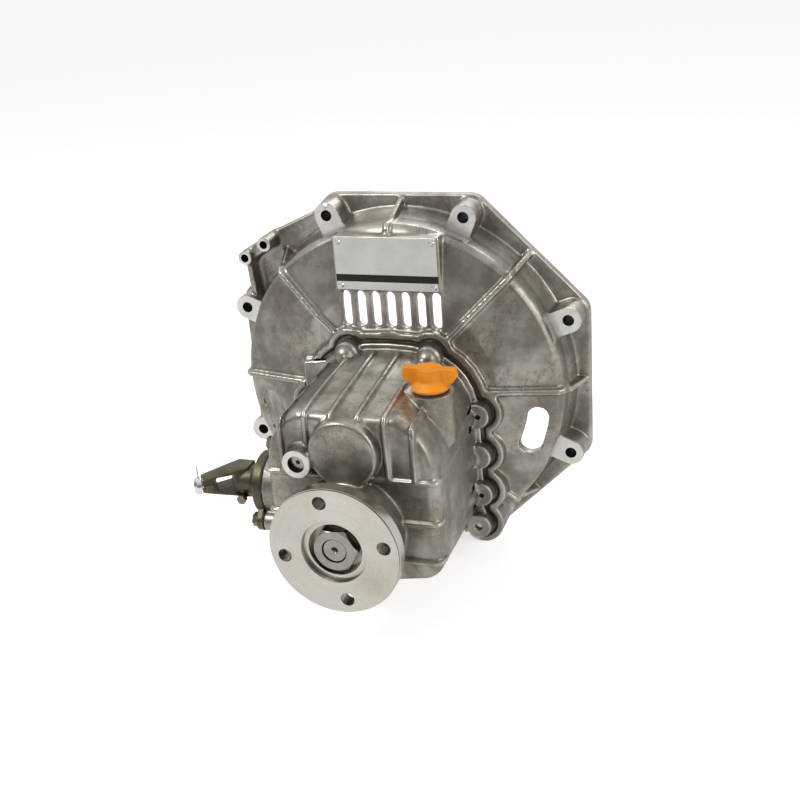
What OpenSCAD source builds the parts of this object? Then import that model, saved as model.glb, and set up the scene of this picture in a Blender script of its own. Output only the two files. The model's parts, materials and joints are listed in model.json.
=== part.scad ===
// Marine gearbox with a bell housing: two-shaft cone-clutch reversing gear.
// Local drawing frame: x to the right, y up, z aft of the engine face, on the input axis.
// aft() turns it into the part's own frame: +Y to the engine, +Z up, origin on the engine face.

/* [Engine flange] */
// Bolt circle diameter of the engine flange
flange_pcd = 292; // [288:1:300]
// Diameter of the engine flange bolt holes
flange_hole_d = 9; // [8:0.5:11]
// Radius of the rounded corners round the flange bolts
flange_corner_r = 12.6; // [11.5:0.1:14]
// Thickness of the octagonal rim
rim_t = 9; // [7:0.5:12]
// Height of the machined bolt pads above the engine face
pad_h = 30; // [26:1:34]
// Radius of the machined bolt pads
pad_r = 10.4; // [9:0.1:11]

/* [Bell housing] */
// Outside radius of the bell wall at the engine flange
bell_r = 140; // [138:0.5:142]
// Wall thickness of the bell
bell_wall = 6; // [5:0.25:7]
// Depth from the engine face to the seat of the gear case
seat_z = 58; // [56:0.5:62]
// Radius at which the rear face of the bell turns into its wall
shoulder_r = 129; // [127:0.5:131]
// Drop of that shoulder in front of the case seat
shoulder_drop = 12; // [10:0.5:14]
// Width of the radial ribs
rib_w = 4.5; // [3.5:0.25:6]
// Height of the radial ribs above the rear face
rib_h = 4; // [3:0.25:5]
// Number of cooling slots under the plate
slot_count = 7; // [5:1:7]
// Distance from slot to slot
slot_pitch = 12.25; // [11:0.05:12.6]
// Width of a cooling slot
slot_w = 7.4; // [6:0.1:8]
// Length of a cooling slot
slot_len = 29.2; // [26:0.1:29.4]
// Offset of the row of slots to the right
slot_mid = 1.3; // [0:0.1:3]
// Height of the upper end of the slots over the input axis
slot_top = 82; // [81:0.1:82.4]
// Inner radius of the kidney windows
window_r1 = 106; // [104:0.5:108]
// Outer radius of the kidney windows
window_r2 = 123; // [121:0.5:124]
// Start of a kidney window, from the top
window_a1 = 95; // [94:0.5:98]
// End of a kidney window, from the top
window_a2 = 115.6; // [112:0.2:118]
// Diameter of the tapped holes in the upper left lug
lug_hole_d = 6.8; // [6:0.1:7.4]
// Outside diameter of the two lug bosses
lug_boss_d = 12.4; // [11.6:0.1:13.5]
// Distance between the two lug holes
lug_pitch = 21.6; // [20:0.1:23]

/* [Plate] */
// Width of the bare plate
plate_w = 82.5; // [76:0.5:86]
// Height of the bare plate
plate_h = 41.4; // [39:0.2:42]
// Thickness of the bare plate
plate_t = 0.8; // [0.5:0.1:1.2]
// Height of the lower edge of the plate over the input axis
plate_low = 83.6; // [83:0.1:84.4]
// Diameter of the rivet heads
rivet_d = 4.4; // [3.6:0.1:5]

/* [Gear case] */
// Half width of the gear case
case_w = 66; // [65:0.25:68]
// Length of the gear case from its seat to its aft face
case_len = 107; // [105:0.5:110]
// Wall thickness of the gear case
case_wall = 4.6; // [4:0.1:5]
// Width of the case flange round the case body
flange_lip = 4.6; // [3.5:0.1:5]
// Height of the roof over the input axis at the seat
roof_front = 38; // [36:0.5:40]
// Height of the roof over the input axis at the aft face
roof_aft = 27; // [25:0.5:30]
// Depth of the flat floor of the case under the input axis
floor_y = 104; // [102:0.5:106]
// Radius of the rounding round the aft face
aft_round = 8; // [6:0.5:10]
// Height of the case ribs
case_rib_h = 2.4; // [1.6:0.1:3]
// Width of the case ribs
case_rib_w = 3.2; // [2.4:0.1:4]
// Distance between the ribs on the roof
roof_rib_pitch = 20.4; // [18:0.2:21]
// Radius of the bolt ears of the case flange
ear_r = 10; // [9:0.25:10.5]
// Thickness of the bolt ears
ear_t = 11; // [10:0.5:13]
// Thread diameter of the case bolts
case_bolt_d = 8; // [6:1:8]
// Diameter of the dowel pins in the lower corners
dowel_d = 6; // [5:0.5:8]
// Width of the gap between the case flange and the bead round it
bead_gap = 3.4; // [2.6:0.1:4]
// Width of that bead
bead_w = 5; // [4:0.1:6]
// Height of that bead above the case seat
bead_h = 3; // [2:0.1:4]
// Thickness of the sealing gasket under the case
gasket_t = 0.6; // [0.4:0.1:1]

/* [Gears] */
// Module of all teeth
gear_module = 2; // [1.96:0.01:2.02]
// Teeth of the forward pinion
fwd_pinion_teeth = 19; // [19:1:19]
// Teeth of the forward gear
fwd_gear_teeth = 42; // [42:1:42]
// Teeth of the reverse pinion
rev_pinion_teeth = 13; // [13:1:13]
// Teeth of the reverse idler
idler_teeth = 23; // [23:1:23]
// Teeth of the reverse gear
rev_gear_teeth = 40; // [40:1:40]
// Face width of the forward gear
fwd_face = 20; // [18:0.5:21]
// Face width of the reverse gear and idler
rev_face = 13; // [11:0.5:13.5]
// Play between meshing teeth, along the pitch circle
tooth_play = 0.5; // [0.4:0.05:0.7]

/* [Cone clutch] */
// Mouth radius of the clutch cones
cone_mouth_r = 34; // [32:0.25:35]
// Narrowing of a clutch cone over its depth
cone_drop = 2.6; // [2:0.1:3]
// Depth of a clutch cone
cone_depth = 12; // [10:0.5:12.5]
// Travel of the drive cone to either side
shift_travel = 2.2; // [1.6:0.1:2.4]
// Room left between the clutch cones at the end of the travel
cone_clear = 0.8; // [0.6:0.05:1]
// Width of the groove in the drive cone
groove_w = 10; // [9:0.25:11]

/* [Shafts] */
// Diameter of the input shaft at its front bearing
input_d = 25; // [24:0.5:26]
// Diameter of the input shaft at its rear bearing
input_rear_d = 20; // [19:0.25:20.5]
// Outside diameter of the input spline
spline_d = 20; // [18:0.25:22]
// Number of spline teeth
spline_teeth = 10; // [8:1:12]
// Diameter of the output shaft under its gears
output_d = 30; // [29:0.5:31]
// Diameter of the output shaft at its front bearing
output_front_d = 25; // [24:0.5:26]
// Diameter of the idler shaft
idler_d = 13; // [12:0.25:13.5]
// Width of the input bearings
input_bearing_w = 12; // [11:0.5:12.5]
// Outside diameter of the input bearings
input_bearing_d = 47; // [46:0.5:47.5]
// Width of the output bearings
output_bearing_w = 16; // [15:0.5:16.5]
// Outside diameter of the front output bearing
output_front_bearing_d = 52; // [50:0.5:53]
// Outside diameter of the rear output bearing
output_rear_bearing_d = 62; // [60:0.5:63]

/* [Output coupling] */
// Diameter of the coupling flange
coupling_d = 100; // [96:1:110]
// Thickness of the coupling flange
coupling_t = 11; // [9:0.5:12]
// Distance from the engine face to the coupling face
coupling_z = 205.7; // [204:0.1:208]
// Bolt circle diameter of the coupling
coupling_pcd = 78; // [74:0.5:80]
// Diameter of the coupling bolt holes
coupling_hole_d = 10.5; // [9:0.5:11]
// Turn of the upper coupling hole away from the top
coupling_turn = 10.55; // [0:0.05:45]
// Diameter of the centring recess
pilot_d = 50; // [48:0.5:54]
// Width of the coupling nut across its flats
nut_af = 31; // [29:0.5:32]

/* [Shift linkage] */
// Diameter of the shift shaft
shift_d = 14; // [13:0.25:15]
// Distance of the shift shaft behind the case seat
shift_back = 62; // [61:0.25:63]
// Throw of the shifter pin from the shift shaft
shift_throw = 4.5; // [4:0.1:5]
// Radius of the side cover
cover_r = 25; // [24:0.25:26]
// Reach of the side cover seat from the input axis
cover_x = 84; // [82:0.5:90]
// Thickness of the side cover flange
cover_t = 8; // [7:0.5:9]
// Distance of the cover bolts from the shift shaft
cover_bolt_r = 31; // [30.5:0.25:32.5]
// Length of the shift lever from its hub to its tip
lever_len = 38; // [34:0.5:44]
// Height of the lever at its hub
lever_h = 27; // [25:0.5:28]
// Height of the lever at its tip
lever_tip_h = 15; // [14:0.5:17]

/* [Filler] */
// Diameter of the filler bore
filler_d = 18; // [16:0.5:19]
// Outside diameter of the filler boss
filler_boss_d = 34; // [32:0.5:35]
// Distance of the filler axis from the input axis
filler_x = 51; // [50:0.25:52]
// Distance of the filler axis behind the case seat
filler_back = 60; // [56:0.5:64]
// Height of the filler boss over the input axis
filler_y = 30; // [29:0.25:32]
// Radius of the skirt of the cap
cap_r = 14.5; // [13:0.25:15]
// Width of the wing on the cap
wing_w = 42; // [38:0.5:44]
// Length of the dipstick under the cap
dipstick_len = 104; // [90:1:106]

/* [Clearances] */
// Radial play of a running fit
run_play = 0.05; // [0.02:0.01:0.09]
// Radial play of pieces that are bolted or pressed in place
seat_play = 0.03; // [0.02:0.01:0.05]
// Room kept between pieces that pass each other
pass_gap = 0.5; // [0.4:0.05:0.8]

/* [Hidden] */
$fn = 48;

// Colours of the finishes
cast_colour = [0.66, 0.64, 0.60];
steel_colour = [0.72, 0.72, 0.73];
gear_colour = [0.52, 0.52, 0.54];
race_colour = [0.78, 0.78, 0.80];
rubber_colour = [0.10, 0.10, 0.10];
dark_colour = [0.30, 0.28, 0.25];
cap_colour = [0.94, 0.50, 0.02];
copper_colour = [0.72, 0.45, 0.28];

// Small overlap that lets cuts run past a face
cut = 1;
// Pressure angle of the teeth and points on each tooth flank
pressure = 20;
flank_steps = 3;

// Gear centres
centre_y = -gear_module * (fwd_pinion_teeth + fwd_gear_teeth) / 2;
input_to_idler = gear_module * (rev_pinion_teeth + idler_teeth) / 2;
idler_to_output = gear_module * (idler_teeth + rev_gear_teeth) / 2;
idler_lift = acos((pow(input_to_idler, 2) + pow(centre_y, 2) - pow(idler_to_output, 2))
    / (2 * input_to_idler * -centre_y));
idler_dir = 270 - idler_lift;
idler_x = input_to_idler * cos(idler_dir);
idler_y = input_to_idler * sin(idler_dir);
idler_out_dir = atan2(centre_y - idler_y, -idler_x);
idler_turn = idler_dir + 180 + 180 / idler_teeth;
rev_gear_turn = idler_out_dir + 180 + 180 / rev_gear_teeth
    - (idler_turn - idler_out_dir) * idler_teeth / rev_gear_teeth;

// Stations along the shafts, aft of the engine face
case_end = seat_z + case_len;
case_seat = seat_z + gasket_t;
aft_extra = 1.4;
inner_end = case_end - case_wall - aft_extra;
shift_z = seat_z + shift_back;
cone_gap = 13;
cone_lap = 3;
rear_washer_t = 2;
bulge_rise = 11;
idler_rise = 13;
idler_recess = 4;
seal_room = 10;
fwd_mouth_z = shift_z - cone_gap;
rev_mouth_z = shift_z + cone_gap;
fwd_z1 = fwd_mouth_z - cone_depth + cone_lap;
fwd_z0 = fwd_z1 - fwd_face;
rev_z0 = rev_mouth_z + cone_depth - cone_lap;
rev_z1 = rev_z0 + rev_face;
bearing_z = rev_z1 + rear_washer_t;
front_bearing_z = seat_z - output_bearing_w;
input_front_z = seat_z - input_bearing_w;
input_rear_z = bearing_z;
bulge_wall = 3;
bulge_face = case_end + bulge_rise;
bulge_r = input_bearing_d / 2 + bulge_wall;
idler_boss_wall = 4.5;
idler_face = case_end + idler_rise;
idler_boss_r = idler_d / 2 + idler_boss_wall;
output_boss_wall = 7;
output_boss_r = output_rear_bearing_d / 2 + output_boss_wall;
output_boss_end = bearing_z + output_bearing_w + seal_room;
bulge_edge = 2;
boss_flare = 3;
boss_len = output_boss_end - inner_end;
idler_flare_len = case_end - inner_end + aft_round / 2;

// Gear tip and root radii
function tip_r(teeth) = gear_module * (teeth / 2 + 1);
function root_r(teeth) = gear_module * (teeth / 2 - 1.25);

// Outside diameters of the races in their bores
input_race_d = input_bearing_d - 2 * seat_play;
front_race_d = output_front_bearing_d - 2 * seat_play;
rear_race_d = output_rear_bearing_d - 2 * seat_play;

// Radii round the output shaft
output_r = output_d / 2;
needle_d = 3;
needle_count = 16;
idler_needle_count = 10;
end_play = 0.2;
gear_bore_r = output_r + needle_d + 2 * run_play;
idler_bore_r = idler_d / 2 + needle_d + 2 * run_play;
hub_r = 17.5;
cone_ring = 3.4;
web_side = 5;
web_cut = 3;
spline_root_r = output_r - 2;
cone_spline_teeth = 12;
cone_spline_h = 1.8;
cone_spline_sink = 0.5;
spacer_wall = 5;
thrust_wall = 8;
front_washer_t = 3;
cone_tip_room = 1;
cone_mouth_room = 0.6;
groove_depth = 7;
coupling_edge = 0.8;
hub_flare = 9;
hub_flare_len = 6;
pilot_depth = 3.5;
nut_depth = 11.5;
nut_inset = 1.2;
nut_seat = coupling_z - nut_depth;
nut_end = coupling_z - nut_inset;
nut_room_in = 4.5;
nut_room_r = pilot_d / 2 - nut_room_in;
nut_bevel = 0.4;
nut_corner_r = nut_af / 2 / cos(30) - nut_bevel;
washer_t = 1.8;
thread_d = 19;
centre_depth = 5;

// Bolt ears of the case flange: three on each side, a lower corner and a roof pair
ear_rows = [-12, -47, -80];
ear_x = case_w + 3.5;
corner_ear = [case_w + 1, -109];
dowel_grip = 8;
corner_top = -88;
roof_ear = [33.8, 34.3];
// Corner of the case flange at the upper left, and where its edge meets the rounded top
flange_tab = [-74.6, 23.1];
tab_root = [-50, 25.8];
bolt_places = concat(
    [for (s = [-1, 1], y = ear_rows) [s * ear_x, y]],
    [for (s = [-1, 1]) [s * roof_ear[0], roof_ear[1]]]);
dowel_places = [for (s = [-1, 1]) [s * corner_ear[0], corner_ear[1]]];
ledge_rows = [-22, -55, -87];
ledge_reach = 3;
column_sink = 6;
flange_t = 4;
rim_room = 3;
bolt_room = 3;
case_bolt_grip = ear_t - bolt_room;
case_arc_y = -21;
floor_round = 16;

// Bow of the case roof at the seat and at the aft face, and room round the gears
front_bow = 2.5;
aft_bow = 2.1;
gear_room = 2;
round_steps = [[0, 0], [0.5, 0.07], [0.8, 0.26], [1, 0.62]];
skin = 0.02;
belly_r = tip_r(fwd_gear_teeth) + gear_room + case_wall;

// Stations of the bell's rear wall, and radii of its profile
bell_back = seat_z - 2.8;
bell_inside = bell_back - bell_wall - 1;
bolt_seat = bell_inside + 0.5;
face_r = 84;
shoulder_step = 4;
pad_wall_r = shoulder_r + shoulder_step;
bell_draft = 1;
shoulder_inside = seat_z - shoulder_drop - bell_wall - shoulder_step;
side_rib_y = 4;
web_t = 4;
pad_reach = 14;
pad_relief = 0.6;

// Upper left lug
lug_mid = [-122.6, 104];
lug_dir = 32.7;
lug_places = [for (s = [1, -1]) lug_mid + s * polar(lug_pitch / 2, lug_dir)];
lug_depth = 18;
lug_bolts = [112.5, 157.5];

// Ring and groove places on the idler shaft
clip_t = 1.4;
clip_w = 3.4;
clip_r = idler_d / 2 - 1;
clip_z = rev_z0 - 1 - clip_t;
o_ring_w = 2.2;
o_ring_r = idler_d / 2 - 1.2;
o_ring_z = case_end + 2;

// Plate and rivet places
plate_back = seat_z - 3.6;
plate_mid = plate_low + plate_h / 2;
plate_edge = 2;
rivet_inset = 3.4;
rivet_r = 1.2;
rivet_len = 3.6;
rivet_places = [for (sx = [-1, 1], sy = [-1, 1])
    [sx * (plate_w / 2 - rivet_inset), plate_mid + sy * (plate_h / 2 - rivet_inset)]];

// Bosses inside the bell round the front bearings
input_seal_r = input_bearing_d / 2 - 3.5;
input_seal_w = 7;
input_seal_z = input_front_z - input_seal_w;
bell_boss_z = input_front_z - input_seal_w - 2;
boss_wall = 8;

// Seals, drain and cover bolts
output_seal_r = hub_r + 9.5;
output_seal_gap = 1.5;
spigot_len = 9;
spigot_sink = 4;
cover_edge = 5;
cover_neck_r = 16;
cover_neck_len = 6;
shift_seal_wall = 3.5;
cover_bolt_d = 6;
cover_bolt_hole_r = cover_bolt_d / 2 + seat_play;
cover_bolt_grip = 10;
cover_lobe_r = 8;
cover_lip = 6;
cover_gasket_t = 1;
lobe_x = -cover_x - cover_t + 2;
drain_z = seat_z + 36;
drain_r = 7;
drain_seat = 3;
drain_boss_r = 12;
drain_face = centre_y - tip_r(fwd_gear_teeth) - gear_room - case_wall - drain_seat;
drain_washer_t = 1.5;
drain_washer_r = 11;
drain_af = 19;
drain_head = 7.5;
drain_thread = 7;

// Filler and dipstick places
filler_z = seat_z + filler_back;
stick_r = 2;
plug_len = 12;
plug_play = 1;
cap_seal_t = 1.4;
cap_lift = 0.1;
cap_seat = cap_seal_t + cap_lift;
cap_skirt = 2;
cap_cone = 5;
cap_neck_r = 9.5;
cap_top = 18.5;
wing_t = 7;
wing_foot = 4;
wing_low = 8;
wing_mid = 12.5;
wing_in = 3;

// Shift linkage places
shift_y = centre_y + shift_throw;
cover_bolt_dir = [for (s = [-1, 1]) [s * 0.77, -s * 0.64]];
lever_x = -(cover_x + cover_t + cover_neck_len + 2 * pass_gap);
lever_hub_wall = 5.5;
lever_hub_r = shift_d / 2 + lever_hub_wall;
lever_hub_len = 15;
lever_turn = 33;
lever_rise = 4;
lever_root = 14;
lever_t = 14;
lever_tip_t = 13;
lever_tip_len = 4;
lever_window_h = 10.4;
lever_window_in = 6;
slit_w = 1.6;
pinch_d = 4;
pinch_drop = 2.5;
pinch_x = lever_x - lever_hub_len / 2;
pinch_af = 7;
pinch_head = 3.5;
pin_d = 8;
pin_head_r = 7;
pin_head_t = 3.5;
pin_head_z = 6;
pin_dome = 2;
cotter_r = 0.7;
cotter_len = 10;

// Crank of the shift shaft
shaft_end = -cone_mouth_r - 12;
crank_x0 = -cone_mouth_r - 20;
crank_x1 = -cone_mouth_r - 6;
crank_wall = 4;
crank_pin_play = 0.4;
crank_pin_lap = 5.5;

module aft() {
    rotate([90, 0, 0]) children();
}

// Round bar along z
module rod(r, z0, z1) {
    translate([0, 0, z0]) cylinder(r = r, h = z1 - z0);
}

// Round bar along x
module rod_x(r, x0, x1) {
    translate([x0, 0, 0]) rotate([0, 90, 0]) cylinder(r = r, h = x1 - x0);
}

// Round bar along y
module rod_y(r, y0, y1) {
    translate([0, y0, 0]) rotate([-90, 0, 0]) cylinder(r = r, h = y1 - y0);
}

// Round tube along z
module tube(ro, ri, z0, z1) {
    difference() {
        rod(ro, z0, z1);
        rod(ri, z0 - cut, z1 + cut);
    }
}

// Block centred in x and y
module block(w, h, z0, z1) {
    translate([-w / 2, -h / 2, z0]) cube([w, h, z1 - z0]);
}

// Hexagon prism along z, measured across its flats
module hex(af, z0, z1) {
    translate([0, 0, z0]) cylinder(d = af / cos(30), h = z1 - z0, $fn = 6);
}

module on_output() {
    translate([0, centre_y, 0]) children();
}

module on_idler() {
    translate([idler_x, idler_y, 0]) children();
}

module on_shift() {
    translate([0, shift_y, shift_z]) children();
}

// Copies round the input axis at the flange bolts
module each_flange_bolt() {
    for (k = [0:7]) rotate(22.5 + 45 * k) translate([flange_pcd / 2, 0, 0]) children();
}

// Copies at the case bolts
module each_ear() {
    for (p = bolt_places) translate([p[0], p[1], 0]) children();
}

// Copies at the dowels in the lower corners
module each_dowel() {
    for (p = dowel_places) translate([p[0], p[1], 0]) children();
}

// Copies at the bolts of the side cover, with the bolt along x
module each_cover_bolt() {
    on_shift() for (d = cover_bolt_dir) translate([0, d[0] * cover_bolt_r, d[1] * cover_bolt_r]) children();
}

function polar(r, a) = [r * cos(a), r * sin(a)];

// Involute tooth outline
function involute(rb, r) = sqrt(pow(r / rb, 2) - 1) * 180 / PI - acos(rb / r);
function flank_angle(teeth, r) =
    let (rp = gear_module * teeth / 2, rb = rp * cos(pressure))
    90 / teeth - tooth_play / 4 / rp * 180 / PI + involute(rb, rp) - involute(rb, r);
function flank_radii(teeth) =
    let (rb = gear_module * teeth / 2 * cos(pressure), ra = tip_r(teeth))
    let (r0 = max(rb * 1.0005, root_r(teeth) + gear_module / 20))
    [for (i = [0:flank_steps]) r0 + (ra - r0) * i / flank_steps];
function gear_points(teeth) =
    let (radii = flank_radii(teeth), relief = teeth < 17 ? 2 : 0)
    let (root_a = flank_angle(teeth, radii[0]) - relief)
    [for (t = [0:teeth - 1]) let (c = 360 * t / teeth) each concat(
        [polar(root_r(teeth), c - root_a)],
        [for (r = radii) polar(r, c - flank_angle(teeth, r))],
        [for (i = [flank_steps:-1:0]) polar(radii[i], c + flank_angle(teeth, radii[i]))],
        [polar(root_r(teeth), c + root_a)])];

module gear(teeth, turn, z0, z1) {
    translate([0, 0, z0]) rotate(turn) linear_extrude(z1 - z0) polygon(gear_points(teeth));
}

// Straight-sided spline outline
module spline(teeth, ro, ri, z0, z1) {
    step = 360 / teeth;
    points = [for (k = [0:teeth - 1]) each [
        polar(ri, (k - 0.34) * step), polar(ro, (k - 0.2) * step),
        polar(ro, (k + 0.2) * step), polar(ri, (k + 0.34) * step)]];
    translate([0, 0, z0]) linear_extrude(z1 - z0) polygon(points);
}

// Rounded octagon of the engine flange
module flange_outline() {
    polygon([for (k = [0:7], j = [-3:3])
        polar(flange_pcd / 2, 22.5 + 45 * k) + polar(flange_corner_r, 22.5 + 45 * k + 7.5 * j)]);
}

// Section of the gear case: superellipse top cut off at a roof, straight sides, rounded floor, grown by d
function case_section(d, n, top) =
    let (w = case_w + d, h = roof_front - case_arc_y + d, r = floor_round, steps = 16)
    concat(
        [for (i = [0:steps]) let (a = 180 * i / steps, c = cos(a), s = sin(a))
            [w * sign(c) * pow(abs(c), 2 / n), min(case_arc_y + h * pow(abs(s), 2 / n), top + d)]],
        [for (i = [0:6]) [-w + r, -floor_y - d + r] + polar(r, 180 + 15 * i)],
        [for (i = [0:6]) [w - r, -floor_y - d + r] + polar(r, 270 + 15 * i)]);

// Lofted body of the gear case, grown by d, between two stations
module case_loft(d, z0, z1) {
    hull() {
        case_slab(d, front_bow, roof_front, z0 + skin);
        for (s = round_steps)
            case_slab(d - s[1] * aft_round, aft_bow, roof_aft, z1 - aft_round * (1 - s[0]));
    }
}

module case_slab(d, n, top, z) {
    translate([0, 0, z - skin]) linear_extrude(skin) polygon(case_section(d, n, top));
    on_output() rod(belly_r + d, z - skin, z);
}

// Outline of the case flange with its ears, grown by d
module case_flange(d) {
    polygon(case_section(d + flange_lip, front_bow, roof_front));
    translate([0, centre_y]) circle(r = belly_r + d);
    for (p = concat(bolt_places, dowel_places)) translate(p) circle(r = ear_r + d);
    for (s = [0, 1]) mirror([s, 0]) polygon([
        [case_w - floor_round, corner_top], [case_w * 0.6, -floor_y - d],
        [corner_ear[0], corner_ear[1] - ear_r - d], [corner_ear[0] + ear_r + d, corner_ear[1]],
        [case_w + d, corner_top]]);
}

// Square-cornered tab of the case flange at its upper left, grown by d
module case_tab(d) {
    polygon([
        tab_root + [0, d], flange_tab + [-d, d],
        [flange_tab[0] - d, ear_rows[0]], [tab_root[0], ear_rows[0]]]);
}

// Turned profile of the bell, lifted by d
function bell_outer(d) = [
    [0, bell_back + d], [face_r, bell_back + d], [shoulder_r + d / 2, seat_z - shoulder_drop + d],
    [shoulder_r + shoulder_step + d / 2, seat_z - shoulder_drop - shoulder_step + d],
    [pad_wall_r + d / 2, pad_h - shoulder_step], [bell_r + d / 2, 0]];
function bell_inner(d) = [
    [bell_r - bell_wall + d / 2, 0], [pad_wall_r - bell_wall + d / 2, pad_h - shoulder_step],
    [shoulder_r + shoulder_step / 2 - bell_wall + d / 2, shoulder_inside + d],
    [face_r, bell_inside + d], [0, bell_inside + d]];

// Prism that stands on the rear wall of the bell and ends at z1
module on_bell(z1) {
    difference() {
        translate([0, 0, pad_h / 2]) linear_extrude(z1 - pad_h / 2) children();
        bell_room();
    }
}

// Hollow of the bell, sunk a little into its wall
module bell_room() {
    rotate_extrude() polygon(concat([[0, 0]], bell_inner(bell_wall / 3)));
}

// Radial ribs of the rear face, cut from the lifted profile
module bell_ribs() {
    difference() {
        intersection() {
            rotate_extrude() polygon(concat(bell_outer(rib_h), [[0, 0]]));
            rib_bars();
        }
        translate([0, 0, pad_h]) linear_extrude(seat_z) {
            case_flange(bead_gap + bead_w / 2);
            case_tab(2 * pass_gap);
        }
        bell_room();
    }
}

// Straight bars that the ribs are taken from
module rib_bars() {
    for (a = [45:90:315]) rotate(a) translate([face_r * 0.7, -rib_w / 2, pad_h])
        cube([bell_r, rib_w, seat_z]);
    for (s = [0, 1]) mirror([s, 0, 0]) translate([case_w + ear_r, side_rib_y - rib_w / 2, pad_h])
        cube([bell_r, rib_w, seat_z]);
    translate([-rib_w / 2, plate_mid, pad_h]) cube([rib_w, bell_r / 2, seat_z]);
}

// Tapered webs between the bell wall and the middle of each rim side
module rim_webs() {
    apothem = flange_pcd / 2 * cos(22.5) + flange_corner_r;
    for (k = [0:7]) rotate(45 * k) translate([0, rib_w / 2, 0]) rotate([90, 0, 0]) linear_extrude(rib_w)
        polygon([[pad_wall_r - 1, cut], [apothem - cut, cut], [apothem - 2 * cut, rim_t + cut],
            [pad_wall_r + web_t, pad_h + web_t], [pad_wall_r - 1, pad_h + web_t]]);
}

// Wavy bead round the case flange
module flange_bead() {
    on_bell(seat_z + bead_h) difference() {
        case_flange(bead_gap + bead_w);
        case_flange(bead_gap);
        case_tab(2 * pass_gap);
    }
}

// Upper left lug with two tapped bosses
module lug() {
    for (p = lug_places) translate([p[0], p[1], 0]) rod(lug_boss_d / 2, cut, pad_h);
    hull() for (q = concat(lug_places, [polar(flange_pcd / 2, lug_bolts[0]), polar(bell_r, lug_bolts[1])]))
        translate([q[0], q[1], 0]) rod(lug_boss_d / 2 - pad_relief, 0, rim_t + 2 * cut, $fn = 24);
    hull() for (p = lug_places)
        translate([p[0], p[1], 0]) rod(lug_boss_d / 2 - 2 * pad_relief, cut, pad_h - bell_wall, $fn = 24);
    hull() for (q = [lug_places[1], polar(bell_r - cut, lug_bolts[1])])
        translate([q[0], q[1], 0]) rod(rib_w / 2, 0, pad_h - rib_w, $fn = 16);
}

// Kidney windows low on both sides of the rear face
module window_cut() {
    mid = (window_r1 + window_r2) / 2;
    half = (window_r2 - window_r1) / 2;
    inset = asin(half / mid);
    a0 = 90 - window_a2 + inset;
    a1 = 90 - window_a1 - inset;
    steps = 8;
    outline = concat(
        [for (i = [0:steps]) polar(window_r2, a0 + (a1 - a0) * i / steps)],
        [for (i = [1:steps - 1]) polar(mid, a1) + polar(half, a1 + 180 * i / steps)],
        [for (i = [steps:-1:0]) polar(window_r1, a0 + (a1 - a0) * i / steps)],
        [for (i = [1:steps - 1]) polar(mid, a0) + polar(half, a0 + 180 + 180 * i / steps)]);
    for (s = [0, 1]) mirror([s, 0, 0]) translate([0, 0, pad_h]) linear_extrude(seat_z) polygon(outline);
}

module slot_cut() {
    for (i = [0:slot_count - 1]) translate([slot_mid + (i - (slot_count - 1) / 2) * slot_pitch, 0, 0]) {
        end_r = slot_w / 2;
        steps = 8;
        outline = concat(
            [for (i = [0:steps]) [0, slot_top - end_r] + polar(end_r, 180 * i / steps)],
            [for (i = [0:steps]) [0, slot_top - slot_len + end_r] + polar(end_r, 180 + 180 * i / steps)]);
        translate([0, 0, pad_h]) linear_extrude(seat_z) polygon(outline);
    }
}

// Round-nosed pad that runs in towards the bell wall, grown by d
module pad_outline(d) {
    steps = 12;
    polygon(concat(
        [for (i = [0:steps]) polar(pad_r + d, -90 + 180 * i / steps)],
        [[-pad_reach, pad_r + d], [-pad_reach, -pad_r - d]]));
}

module bell_housing() {
    color(cast_colour) aft() difference() {
        union() {
            linear_extrude(rim_t) difference() {
                flange_outline();
                circle(r = bell_r - bell_wall / 2);
            }
            rotate_extrude() polygon(concat(bell_outer(0), bell_inner(0)));
            each_flange_bolt() linear_extrude(pad_h) pad_outline(0);
            bell_ribs();
            rim_webs();
            lug();
            flange_bead();
            on_bell(seat_z) case_flange(bead_gap + cut);
            on_bell(seat_z) case_tab(cut);
            each_dowel() rod(ear_r - bell_draft, rim_t, seat_z - bell_draft);
            translate([0, plate_mid, 0])
                block(plate_w + 2 * plate_edge, plate_h + plate_edge, bell_inside - bell_wall, plate_back);
            rod(input_bearing_d / 2 + boss_wall, bell_boss_z, seat_z);
            on_output() rod(output_front_bearing_d / 2 + boss_wall, front_bearing_z - bell_wall, seat_z);
        }
        rod(input_bearing_d / 2, input_front_z, seat_z + cut);
        rod(input_seal_r, bell_boss_z - cut, seat_z);
        on_output() rod(output_front_bearing_d / 2, front_bearing_z, seat_z + cut);
        each_flange_bolt() rod(flange_hole_d / 2, -cut, pad_h + cut);
        each_flange_bolt() translate([0, 0, pad_h]) linear_extrude(seat_z) pad_outline(pad_relief);
        for (p = lug_places) translate([p[0], p[1], 0]) rod(lug_hole_d / 2, pad_h - lug_depth, pad_h + cut);
        each_ear() rod(case_bolt_d / 2 + seat_play, bell_inside - cut, seat_z + cut);
        each_ear() rod(case_bolt_d - pass_gap, pad_h, bolt_seat);
        translate([0, plate_mid, 0])
            block(plate_w + plate_edge, plate_h + plate_edge, plate_back, seat_z + bead_h);
        each_dowel() rod(dowel_d / 2 + seat_play, seat_z - dowel_grip - cut, seat_z + cut);
        window_cut();
        slot_cut();
        for (p = rivet_places) translate([p[0], p[1], 0])
            rod(rivet_r + seat_play, plate_back - rivet_len - pass_gap, plate_back + cut);
    }
}

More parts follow.
